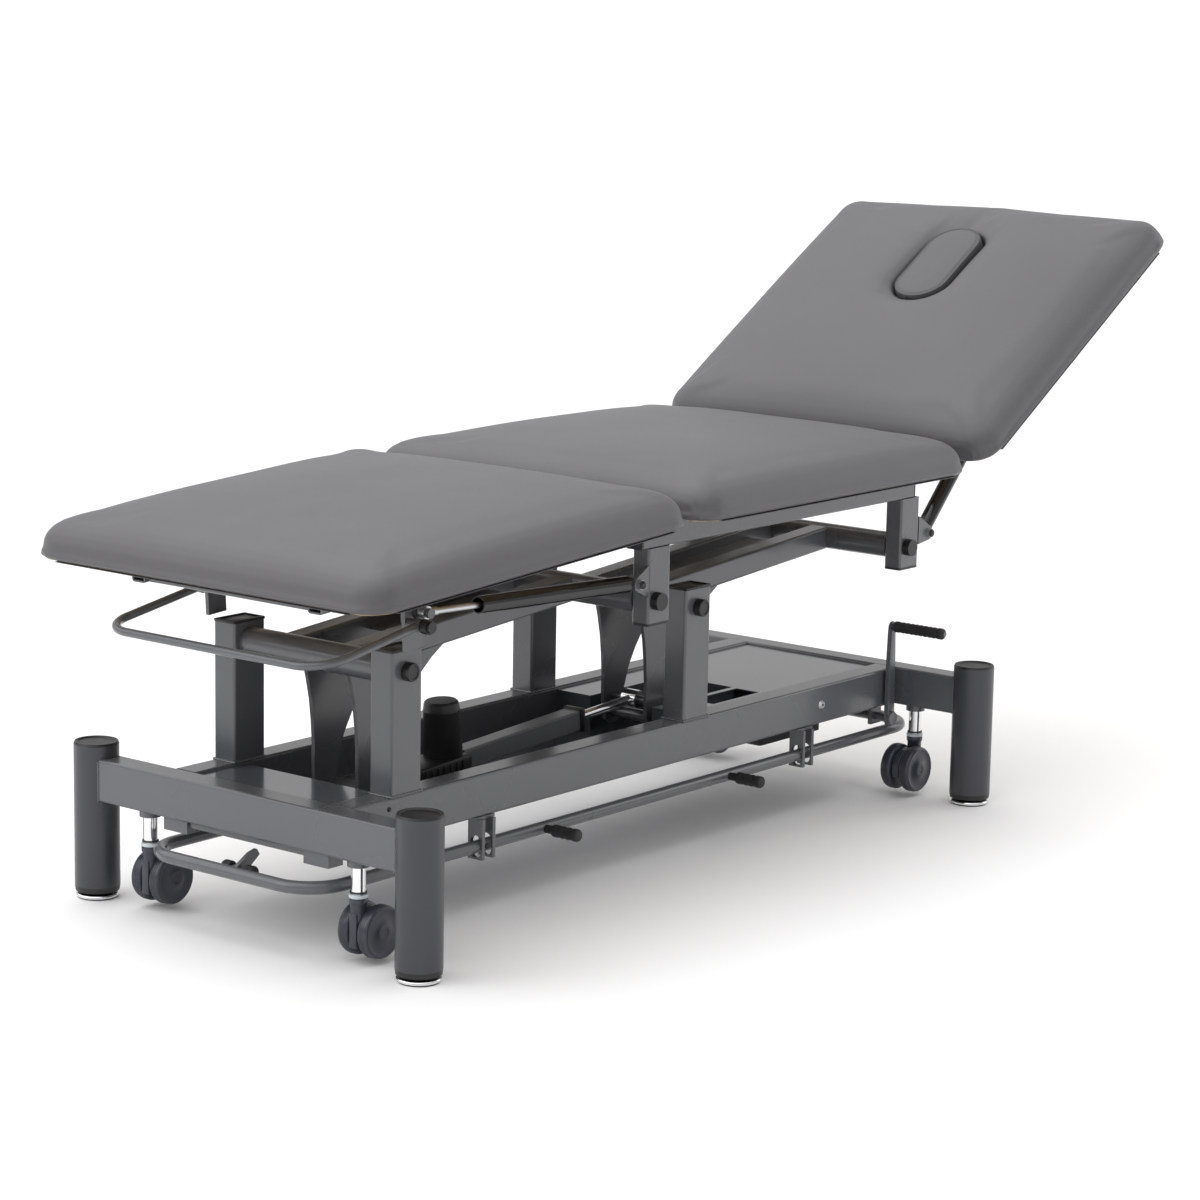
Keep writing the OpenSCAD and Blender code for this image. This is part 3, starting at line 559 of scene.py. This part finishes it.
def shape_cover(piece, length, width, thick, corner, crown, slot_shift=None):
    centres = [(corner, width / 2 - corner), (length - corner, width / 2 - corner)]
    for vertex in piece.data.vertices:
        p = vertex.co
        share = max(0.0, min(1.0, p.z / thick))
        lift = rise(length / 2 - abs(p.x - length / 2)) * rise(width / 2 - abs(p.y))
        p.z += share * ((crown + EDGE_DROP) * lift - EDGE_DROP)
        soft = noise.noise(Vector((p.x * 7, p.y * 7, thick * 40)))
        p.z += share * 0.0009 * soft
        low = max(0.0, 1 - p.z / 0.030)
        for cu, cv in centres:
            du, dv = p.x - cu, abs(p.y) - cv
            outward = (du < 0) == (cu < length / 2)
            if low > 0 and outward and dv > 0:
                reach = math.hypot(du, dv)
                bend = math.atan2(dv, abs(du))
                fold = math.cos(bend * 20) * math.sin(2 * bend)
                if reach > corner * 0.6:
                    push = 0.0016 * low * fold
                    p.x += du / reach * push
                    p.y += math.copysign(dv / reach * push, p.y)
        if slot_shift is not None and p.z > 0.02:
            near = slot_gap(p.x - slot_shift, p.y)
            p.z -= 0.0065 * math.exp(-((max(near, 0) / 0.026) ** 2)) * share


def keep_off_slot(piece, slot_shift, room):
    for vertex in piece.data.vertices:
        p = vertex.co
        near = slot_gap(p.x - slot_shift, p.y)
        if near < room:
            u = p.x - slot_shift - SLOT_U
            u -= math.copysign(min(abs(u), SLOT_HALF), u)
            way = Vector((u, p.y, 0))
            p += way.normalized() * (room - near)


def finer(piece):
    step = piece.modifiers.new("finer", "SUBSURF")
    step.levels = 1
    step.render_levels = 1
    settle(piece)
    piece.data.shade_smooth()


print("shaping ready")


# %% [markdown]
# ## The three cushions
# All three share one recipe: blank, even mesh, swell, shape, one subdivision, and then the place.

# %% Cushions
VOXEL = 0.007


def make_cushion(name, node, body, place, start, length, crown, slotted=False):
    width, thick, corner = 0.644, 0.066, 0.047
    piece = to_object(name, blank(length - 0.008, width, thick, corner, 0.043))
    shift = -start
    piece.data.transform(Matrix.Translation((0.004, 0, 0)))
    if slotted:
        cut_slot(piece, shift, 0.0035)
    remesh(piece, VOXEL)
    swell(piece, 4.0, 0.004, lambda p: p.z < 0.012)
    shape_cover(piece, length, width + 0.008, thick + 0.004, corner, crown, shift if slotted else None)
    if slotted:
        keep_off_slot(piece, shift, 0.0008)
    finer(piece)
    for vertex in piece.data.vertices:
        vertex.co.z = max(vertex.co.z, 0.0002)
    piece.data.transform(place @ Matrix.Translation((start, 0, 0)))
    piece.data.materials.clear()
    piece.data.materials.append(vinyl_cover)
    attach(piece, body)
    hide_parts(node)
    print(name, len(piece.data.polygons), "faces")
    return piece


up_head = head_place @ Matrix.Translation((0, 0, 0.006))
up_leg = leg_place @ Matrix.Translation((0, 0, 0.006))
seat_pad = make_cushion("seat_pad", "seat_cushion", "top_frame", seat_place, 0.0, 0.688, 0.006)
head_pad = make_cushion("head_pad", "head_cushion", "head_section", up_head, 0.008, 0.637, 0.009, True)
leg_pad = make_cushion("leg_pad", "leg_cushion", "leg_section", up_leg, 0.005, 0.664, 0.008)

# %% [markdown]
# ## The face plug
# The plug is a small firm pad in the same vinyl, standing a little proud of the head cushion. Its top
# panel is sewn to its side band, so a piped seam runs round it just inside the edge, with a row of
# stitches beside the piping, and a short upright seam closes the band at its lower end.


# %% Plug pad
def make_plug():
    bm = bmesh.new()
    ring = [bm.verts.new(p) for p in slot_line(0.0012, 72, 0.001)]
    face = bm.faces.new(ring)
    up = bmesh.ops.extrude_face_region(bm, geom=[face])["geom"]
    top = [g for g in up if isinstance(g, bmesh.types.BMVert)]
    bmesh.ops.translate(bm, vec=(0, 0, 0.070), verts=top)
    rim = [e for e in bm.edges if min(v.co.z for v in e.verts) > 0.07]
    ease(bm, rim, 0.005, 4)
    bmesh.ops.recalc_face_normals(bm, faces=bm.faces)
    piece = to_object("face_plug_pad", bm)
    remesh(piece, 0.0035)
    swell(piece, 2.0, 0.0025, lambda p: p.z < 0.066 or slot_gap(p.x, p.y) > -0.004)
    for vertex in piece.data.vertices:
        p = vertex.co
        if p.z > 0.055:
            inside = -slot_gap(p.x, p.y)
            p.z += 0.0022 * min(1.0, max(0.0, inside) / 0.035)
            seam = math.exp(-(((inside - 0.0052) / 0.0016) ** 2))
            p.z -= 0.0012 * seam
    finer(piece)
    return piece


plug_pad = make_plug()
SEAM_IN = 0.0034
seam_points = []
for p in slot_line(SEAM_IN, 220, 0.1):
    hit, place, normal, face = plug_pad.ray_cast(p, Vector((0, 0, -1)))
    seam_points.append(place + Vector((0, 0, 0.0001)))
stitch_row = []
for p in slot_line(0.0082, 190, 0.1):
    hit, place, normal, face = plug_pad.ray_cast(p, Vector((0, 0, -1)))
    stitch_row.append(place)
print("plug", len(plug_pad.data.polygons), "faces, seam at", round(seam_points[0].z, 4))


# %% Plug seam and stitches
def plug_trim():
    bm = bmesh.new()
    bead(bm, seam_points, 0.0011, True)
    lower_end = Vector((SLOT_U - SLOT_HALF - SLOT_R + 0.0012, 0.004, 0))
    side = [lower_end + Vector((-0.0001, 0, 0.060 + 0.0012 * i)) for i in range(9)]
    bead(bm, side, 0.0006)
    return bm


def stitches(points, reach, length=0.0024, thick=0.00032):
    """Short raised threads that follow a line on a surface."""
    bm = bmesh.new()
    for i in range(0, len(points) - 1, reach):
        a, b = points[i], points[(i + 1) % len(points)]
        along = (b - a).normalized()
        middle = (a + b) / 2
        low = middle - along * length / 2
        high = middle + along * length / 2
        bead(bm, [low, middle + Vector((0, 0, thick)), high], thick)
    return bm


plug_pad.data.transform(up_head)
plug_pad.data.materials.clear()
plug_pad.data.materials.append(vinyl_plug)
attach(plug_pad, "face_plug_body")
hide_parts("face_plug")
trim = plug_trim()
bmesh.ops.transform(trim, matrix=up_head, verts=trim.verts)
make_piece("face_plug_piping", trim, "face_plug_body", vinyl_piping)
row = stitches(stitch_row, 2)
bmesh.ops.transform(row, matrix=up_head, verts=row.verts)
make_piece("face_plug_stitches", row, "face_plug_body", thread)
print("piping", len(seam_points), "points long")

# %% [markdown]
# ## Under the cushions
# The cover is pulled over the board's edge and stapled. From below, a hem of doubled vinyl runs along
# each side, with a staple about every three centimetres.


# %% Hems and staples
def hem_strip(bm, low, high):
    block(bm, low, high, 0.0004)


def staple(bm, u, v, half_u, half_v):
    low = Vector((u - half_u, v - half_v, -0.0020))
    high = Vector((u + half_u, v + half_v, -0.0013))
    block(bm, low, high, 0.0002)


def hems(name, body, place, start, length, far_end):
    cloth = bmesh.new()
    clips = bmesh.new()
    sides = [(-0.318, -0.286), (0.286, 0.318)]
    for a, b in sides:
        hem_strip(cloth, Vector((start + 0.05, a, -0.0014)), Vector((start + length - 0.05, b, -0.0003)))
        count = int((length - 0.12) / 0.032)
        for i in range(count):
            u = start + 0.06 + i * (length - 0.12) / (count - 1)
            v = b - 0.006 if b < 0 else a + 0.006
            staple(clips, u, v, 0.005, 0.0005)
    if far_end:
        u = start + length
        hem_strip(cloth, Vector((u - 0.034, -0.27, -0.0014)), Vector((u - 0.008, 0.27, -0.0003)))
        for i in range(17):
            v = -0.256 + i * 0.032
            staple(clips, u - 0.028, v, 0.0005, 0.005)
    bmesh.ops.transform(cloth, matrix=place, verts=cloth.verts)
    bmesh.ops.transform(clips, matrix=place, verts=clips.verts)
    make_piece(name + "_hem", cloth, body, vinyl_piping)
    make_piece(name + "_staples", clips, body, metal_zinc)


hems("seat", "top_frame", seat_place, 0.0, 0.688, False)
hems("head", "head_section", up_head, 0.008, 0.637, True)
hems("leg", "leg_section", up_leg, 0.005, 0.664, True)
print("hems stapled")

# %% [markdown]
# ## Casters
# Each caster has two wheels on one axle, joined by a moulded fork that trails behind a chrome stem.
# The wheels are turned: a rounded tread, a raised rim, a shallow dish and a domed hub. The fork is a
# web between the wheels with a round neck. A pale ring and a dark washer sit under the stem.

# %% Casters
casters = {
    "fn": (-650, -195, 1),
    "ff": (-650, 195, 1),
    "hn": (650, -195, -1),
    "hf": (650, 195, -1),
}
WHEEL = [
    (4.2, 9.2), (24, 9.2), (24, 8.4), (31.5, 8.4), (34.6, 9.6), (35.9, 11.5), (36, 15), (36, 21),
    (35.4, 24.2), (33.4, 26.2), (31.8, 26.4), (30.6, 25.8), (27, 24.6), (20, 24.9), (15, 26.2),
    (12, 27.6), (11.2, 27.9), (6.5, 28.0), (5.6, 27.2), (0, 27.0),
]


FORK_WEB = [
    (0, -6.2), (30.5, -6.2), (31.4, -5.6), (31.8, -4.6), (31.8, 4.6), (31.4, 5.6), (30.5, 6.2), (0, 6.2),
]
FORK_NECK = [
    (0, 58), (9.6, 58), (10.6, 60), (11, 64), (11, 83), (12.4, 85), (12.6, 90), (11.8, 91.4), (0, 91.4),
]
PALE_RING = [
    (10.1, 92.2), (12.6, 92.2), (12.9, 93.2), (12.9, 95.6), (12.4, 96.6), (10.1, 96.6), (10.1, 92.2),
]
DARK_RING = [
    (10.1, 98.0), (11.4, 98.0), (11.6, 99.0), (11.4, 100.4), (10.1, 100.4), (10.1, 98.0),
]


def make_wheels(tag, x, y, trail):
    centre = at(x + trail * 22, y, 44)
    bm = bmesh.new()
    for side in (Y, -Y):
        turned(bm, WHEEL, centre, side, 64)
    piece = make_piece("wheels_" + tag, bm, "wheels_" + tag, plastic_caster)
    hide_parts("caster_wheels_" + tag)
    rings = bmesh.new()
    for side in (Y, -Y):
        for along in (13.5, 16.5, 19.5):
            ring = [(35.2, along - 0.7), (36.25, along - 0.4), (36.25, along + 0.4), (35.2, along + 0.7)]
            turned(rings, ring, centre, side, 64)
    make_piece("treads_" + tag, rings, "wheels_" + tag, plastic_tread)


def make_fork(tag, x, y, trail):
    centre = at(x + trail * 22, y, 44)
    stem = at(x, y, 0)
    bm = bmesh.new()
    turned(bm, FORK_WEB, centre, Y, 64)
    lower = bmesh.ops.bisect_plane(
        bm,
        geom=list(bm.verts) + list(bm.edges) + list(bm.faces),
        plane_co=centre - Z * 0.012,
        plane_no=-Z,
        clear_outer=True,
    )
    rim = [g for g in lower["geom_cut"] if isinstance(g, bmesh.types.BMEdge)]
    bmesh.ops.holes_fill(bm, edges=rim)
    turned(bm, FORK_NECK, stem, Z, 40)
    front = stem - X * trail * 0.0065 + Z * 0.058
    block(bm, front - Vector((0.0050, 0.0068, 0.034)), front + Vector((0.0050, 0.0068, 0.014)), 0.0022)
    piece = make_piece("fork_" + tag, bm, "fork_" + tag, plastic_caster)
    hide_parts("caster_fork_" + tag)


def make_rings(tag, x, y):
    stem = at(x, y, 0)
    pale = bmesh.new()
    turned(pale, PALE_RING, stem, Z, 40)
    make_piece("pale_ring_" + tag, pale, "stems", plastic_pale)
    dark = bmesh.new()
    turned(dark, DARK_RING, stem, Z, 40)
    make_piece("dark_ring_" + tag, dark, "stems", plastic_black)


for tag, (x, y, trail) in casters.items():
    make_wheels(tag, x, y, trail)
    make_fork(tag, x, y, trail)
    make_rings(tag, x, y)
print("casters made:", len(casters))

# %% [markdown]
# ## Levelling feet
# A levelling foot is a pressed chrome disc on a threaded stem, with a thin rubber sole so that it
# doesn't scratch the floor. The rolled edge catches a bright line of light.

# %% Feet
foot_nodes = {"fn": (-650, -302), "ff": (-650, 302), "hn": (650, -302), "hf": (650, 302)}


FOOT_DISC = [
    (0, 1.6), (28.0, 1.6), (29.4, 2.2), (30.4, 3.4), (30.6, 4.6), (30.0, 6.0),
    (28.6, 7.0), (25.5, 7.6), (16, 9.0), (10.5, 10.6), (0, 10.6),
]


def make_foot(tag, x, y):
    centre = at(x, y, 0)
    body = "foot_" + tag
    disc = bmesh.new()
    turned(disc, FOOT_DISC, centre, Z, 64)
    piece = make_piece("disc_" + tag, disc, body, metal_chrome)
    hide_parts("levelling_foot_" + tag)
    sole = bmesh.new()
    turned(sole, [(0, 0), (26.5, 0), (27.2, 0.5), (27.2, 1.7), (0, 1.7)], centre, Z, 48)
    make_piece("sole_" + tag, sole, body, rubber_black)
    screw = bmesh.new()
    profile = [(0, 9.5)]
    for i in range(28):
        profile += [(5.2, 9.8 + i * 1.5), (5.95, 10.5 + i * 1.5)]
    profile += [(5.2, 52), (0, 52)]
    turned(screw, profile, centre, Z, 24)
    make_piece("screw_" + tag, screw, body, metal_zinc)


for tag, (x, y) in foot_nodes.items():
    make_foot(tag, x, y)
print("levelling feet made")

# %% [markdown]
# ## Weld beads
# Posts stand on the side rails and tubes meet the legs with a line of weld. Under paint a weld is a
# soft rippled bead, so a thin tube whose width rises and falls follows each joint.


# %% Welds
def weld_line(points, radius=0.0019, closed=True):
    fine = []
    count = len(points) if closed else len(points) - 1
    for i in range(count):
        a, b = points[i], points[(i + 1) % len(points)]
        steps = max(2, int((b - a).length / 0.0022))
        for k in range(steps):
            fine.append(a.lerp(b, k / steps))
    widths = [1 + 0.22 * math.sin(i * 2.1) for i in range(len(fine))]
    return fine, radius, widths


def post_welds():
    bm = bmesh.new()
    for x in (-526, 109):
        for y in (-1, 1):
            a, b = y * 126, y * 166
            corners = [at(x + side, y, 203.4) for side, y in ((-30, a), (30, a), (30, b), (-30, b))]
            fine, radius, widths = weld_line(corners)
            bead(bm, fine, radius, True, widths)
    return bm


def leg_welds():
    bm = bmesh.new()
    for x in (-650, 650):
        for y in (-302, 302):
            inward = -1 if y > 0 else 1
            edge = y + inward * math.sqrt(31.75**2 - 20**2)
            for side in (-1, 1):
                low = at(x + side * 20, edge, 144)
                high = at(x + side * 20, edge, 202)
                fine, radius, widths = weld_line([low, high], 0.0016, False)
                bead(bm, fine, radius, False, widths)
    return bm


make_piece("post_welds", post_welds(), "base", paint_frame)
make_piece("leg_welds", leg_welds(), "base", paint_frame)
print("welds laid")

# %% [markdown]
# ## Caps
# Black push-in caps close every open tube, and round caps cover the ends of the pivots. A moulded cap
# has a rounded rim and a shallow dish. They replace plain caps of the same size.


# %% Pivot caps
def pivot_cap(bm, centre, outward):
    profile = [
        (0, 0), (12.6, 0), (13, 0.8), (13, 4.6), (12.4, 5.0), (12.4, 5.8), (12.9, 6.2), (12.9, 10.2),
        (12.2, 11.5), (10.8, 12), (9.4, 11.6), (8.6, 10.6), (0, 10.3),
    ]
    turned(bm, profile, centre, outward, 40)


def make_post_caps():
    bm = bmesh.new()
    for x in (-526, 109):
        for side in (-1, 1):
            pivot_cap(bm, at(x, side * 166.05, 370.4), Y * side)
            low, high = sorted((side * 126, side * 166))
            block(bm, at(x - 30, low, 397.9), at(x + 30, high, 400.2), 0.0009)
            for a, b in ((x - 30, x - 26), (x + 26, x + 30)):
                block(bm, at(a, low, 399), at(b, high, 402), 0.0011)
            for a, b in ((low, low + 4), (high - 4, high)):
                block(bm, at(x - 29, a, 399), at(x + 29, b, 402), 0.0011)
    return bm


caps = make_piece("moulded_post_caps", make_post_caps(), "base", plastic_black)
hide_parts("post_caps")
print("post caps", len(caps.data.polygons), "faces")

# %% [markdown]
# ## Socket screws
# Button-head screws hold the control box, the foot bar's hangers and the gas springs. Each is a low
# dome with a hexagonal socket, turned and then sunk by an inset.


# %% Socket screws
def socket_screw(bm, centre, outward, radius=5.2, height=3.0):
    profile = [(0, 0), (radius, 0), (radius, 0.6), (radius * 0.86, height * 0.7), (radius * 0.55, height)]
    turned(bm, profile, centre, outward, 30)
    hexagon = bmesh.ops.create_circle(bm, cap_ends=True, segments=6, radius=radius * 0.55 / 1000)
    turn = outward.to_track_quat("Z", "Y").to_matrix().to_4x4()
    place = Matrix.Translation(centre + outward * height / 1000) @ turn
    bmesh.ops.transform(bm, matrix=place, verts=hexagon["verts"])
    faces = {f for v in hexagon["verts"] for f in v.link_faces}
    inner = bmesh.ops.extrude_face_region(bm, geom=list(faces))["geom"]
    deep = [g for g in inner if isinstance(g, bmesh.types.BMVert)]
    bmesh.ops.scale(bm, vec=(0.84, 0.84, 0.84), verts=deep, space=Matrix.Translation(-centre))
    bmesh.ops.translate(bm, vec=-outward * 0.0008, verts=deep)


screws_base = bmesh.new()
socket_screw(screws_base, at(430, -166.05, 173), -Y, 6.2)
socket_screw(screws_base, at(-560, -166.05, 188), -Y, 3.2, 2.0)
make_piece("rail_screws", screws_base, "base", metal_dark)
screws_bar = bmesh.new()
for x in (-363, 390):
    socket_screw(screws_bar, at(x, -168.9, 101), -Y, 4.6)
make_piece("bar_screws", screws_bar, "foot_bar_body", metal_dark)
screws_top = bmesh.new()
for x, z in ((644, 423), (-90, 436)):
    for side in (-1, 1):
        socket_screw(screws_top, at(x, side * 217.0, z), Y * side, 6.4)
make_piece("spring_screws", screws_top, "top_frame", metal_dark)
print("screws set")

# %% [markdown]
# ## The motor and its gearbox
# The actuator's motor stands upright in a tapered black bucket, on a block that holds the gears. The
# bucket has a rounded lid edge and a seam where its lid snaps on. The block has eased edges.

# %% Motor
REAR = at(-371, 0, 165)
lean = math.atan2(370.4 - 171 - 165, 109 + 60 + 371)
actuator_place = Matrix.Translation(REAR) @ Matrix.Rotation(-lean, 4, "Y")


def make_motor():
    bm = bmesh.new()
    foot = Vector((0.107, 0, 0.0))
    bucket = [
        (0, 13), (28.0, 13), (28.5, 15), (26.4, 78), (27.0, 79), (27.0, 81), (26.2, 82),
        (25.2, 90), (24.2, 92.6), (22, 94.4), (0, 94.8),
    ]
    turned(bm, bucket, foot, Z, 64)
    block(bm, Vector((0.020, -0.030, -0.016)), Vector((0.138, 0.030, 0.014)), 0.005)
    block(bm, Vector((0.0, -0.019, -0.013)), Vector((0.026, 0.019, 0.013)), 0.003)
    eye = [(6.2, -19), (12.4, -19), (13, -18.2), (13, 18.2), (12.4, 19), (6.2, 19), (6.2, -19)]
    turned(bm, eye, Vector((0, 0, 0)), Y, 40)
    block(bm, Vector((0.396, -0.018, -0.018)), Vector((0.406, 0.018, 0.018)), 0.0022)
    for i in range(7):
        rib = 0.036 + i * 0.013
        block(bm, Vector((rib, -0.0315, -0.010)), Vector((rib + 0.004, -0.0295, 0.009)), 0.0006)
    bmesh.ops.transform(bm, matrix=actuator_place, verts=bm.verts)
    return bm


motor = make_piece("motor_and_gearbox", make_motor(), "actuator_body", plastic_black)
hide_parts("actuator_housing")
print("motor", len(motor.data.polygons), "faces")

# %% [markdown]
# ## Crank, grips and pegs
# The crank is a pressed lever, tapered towards its grip, with a folded lip along its back edge. Its
# grip and the foot bar's pegs are rubber sleeves. Shallow rings along them stop a hand or a shoe from
# slipping, and their ends are rounded over.


# %% Crank, grip and pegs
def ringed(length, radius, start, rings, dip=0.7):
    profile = [(0, start), (radius - 1.6, start), (radius - 0.4, start + 0.5), (radius, start + 1.8)]
    gap = (length - 16) / rings
    for i in range(rings):
        s = start + 8 + i * gap
        profile += [(radius, s), (radius - dip, s + gap * 0.25)]
        profile += [(radius - dip, s + gap * 0.5), (radius, s + gap * 0.75)]
    end = start + length
    profile += [(radius, end - 3), (radius - 1.2, end - 0.8), (radius - 3.4, end), (0, end)]
    return profile


def pressed(bm, outline, pivot, near, far, easing):
    """A flat shape in the couch's upright plane, thickened across the couch."""
    ring = [bm.verts.new(pivot + Vector((x, near, z)) / 1000) for x, z in outline]
    face = bm.faces.new(ring)
    deep = bmesh.ops.extrude_face_region(bm, geom=[face])["geom"]
    moved = [g for g in deep if isinstance(g, bmesh.types.BMVert)]
    bmesh.ops.translate(bm, vec=Vector((0, far - near, 0)) / 1000, verts=moved)
    faces = {f for v in ring + moved for f in v.link_faces}
    bmesh.ops.recalc_face_normals(bm, faces=list(faces))
    edges = {e for v in ring + moved for e in v.link_edges}
    ease(bm, edges, easing, 2)


def make_crank():
    bm = bmesh.new()
    pivot = at(608, 0, 124)
    lever = [
        (-10, -9), (0, -13), (10, -9), (12.6, 0), (12.6, 30), (11.4, 90), (9.4, 140), (8.4, 151),
        (4, 156.6), (-4, 156.6), (-8.4, 151), (-9.8, 140), (-12, 90), (-13, 30), (-12.8, 0),
    ]
    lip = [
        (-6.2, 146), (-7.2, 140), (-9.4, 90), (-10.4, 30), (-10.2, 8),
        (-13, 8), (-13, 30), (-12, 90), (-9.8, 140), (-8.8, 146),
    ]
    pressed(bm, lever, pivot, -171.5, -174.5, 0.0009)
    pressed(bm, lip, pivot, -174, -179.5, 0.0007)
    hub = [
        (0, -152), (6, -152), (6, 170.5), (11, 170.5),
        (11.6, 171.2), (11.6, 180), (10.6, 181.4), (0, 181.8),
    ]
    turned(bm, hub, pivot, -Y, 40)
    turned(bm, [(0, 172), (4, 172), (4, 273), (0, 273)], at(608, 0, 273), -Y, 24)
    return bm


grip = bmesh.new()
turned(grip, ringed(91, 8.9, 0, 9), at(608, -179.6, 273), -Y, 40)
grip_piece = make_piece("rubber_grip", grip, "grip", rubber_black)
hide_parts("crank_grip")
crank = make_crank()
crank_piece = make_piece("crank_arm", crank, "crank", paint_frame)
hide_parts("crank_lever")
pegs = bmesh.new()
for x in (-235, 195):
    for side in (-1, 1):
        turned(pegs, ringed(45, 9, 0, 3), at(x, side * 183, 101), Y * side, 40)
        turned(pegs, [(0, -15), (6, -15), (6, 2), (0, 2)], at(x, side * 183, 101), Y * side, 24)
for y, side in ((-20, -1), (6, 1)):
    turned(pegs, ringed(16, 9, 0, 1), at(-680, y, 101), Y * side, 40)
peg_piece = make_piece("rubber_pegs", pegs, "foot_bar_body", rubber_black)
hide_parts("foot_pegs")
print("grip and pegs made")

# %% [markdown]
# ## Floor, light and camera
# The couch stands on a plain pale floor in a white studio. An even surround and a very wide skylight
# do most of the work, and three weak lamps overhead, left and right draw the edges of the dark tubes.


# %% Floor
def make_floor():
    bm = bmesh.new()
    bmesh.ops.create_grid(bm, x_segments=2, y_segments=2, size=400)
    floor = to_object("floor", bm)
    pale = finish_of("studio floor", (0.90, 0.90, 0.90), 0.7, 0.01, 0.5, 40.0, 0.00005)
    floor.data.materials.append(pale)


make_floor()

# %% Light
world = bpy.data.worlds.new("studio")
scene.world = world
world.use_nodes = True
world.node_tree.nodes["Background"].inputs["Color"].default_value = (1, 1, 1, 1)
world.node_tree.nodes["Background"].inputs["Strength"].default_value = 0.62


def lamp(name, place, aim, size, power):
    data = bpy.data.lights.new(name, "AREA")
    data.shape = "RECTANGLE"
    data.size = size[0]
    data.size_y = size[1]
    data.energy = power
    lit = bpy.data.objects.new(name, data)
    scene.collection.objects.link(lit)
    lit.location = place
    lit.rotation_euler = (Vector(aim) - Vector(place)).to_track_quat("-Z", "Y").to_euler()
    return lit


lamp("overhead", (-0.6, 0.6, 3.4), (0, 0, 0.5), (3.2, 2.2), 20)
lamp("left", (-3.2, 1.4, 1.9), (0, 0, 0.5), (1.6, 1.8), 12)
lamp("right", (3.2, -1.6, 1.6), (0.3, 0, 0.5), (1.2, 2.0), 12)
SKY_WIDTH = 110  # degrees, so wide that its shadows have no edge
sky = bpy.data.lights.new("skylight", "SUN")
sky.energy = 2.2
sky.angle = math.radians(SKY_WIDTH)
sky_lamp = bpy.data.objects.new("skylight", sky)
scene.collection.objects.link(sky_lamp)
sky_lamp.rotation_euler = (math.radians(-14), math.radians(-12), 0)
scene.view_settings.view_transform = "Standard"
print("lamps hung")

# %% Camera
camera_data = bpy.data.cameras.new("camera")
camera_data.sensor_width = 36
camera_data.lens = 103.2
camera = bpy.data.objects.new("camera", camera_data)
scene.collection.objects.link(camera)
camera.location = at(-3844.0, -3159.5, 1308.45)
camera.rotation_euler = (math.radians(79.3715), math.radians(-1.0245), math.radians(-51.0031))
scene.camera = camera
print("camera stands", round(camera.location.length, 2), "m away")
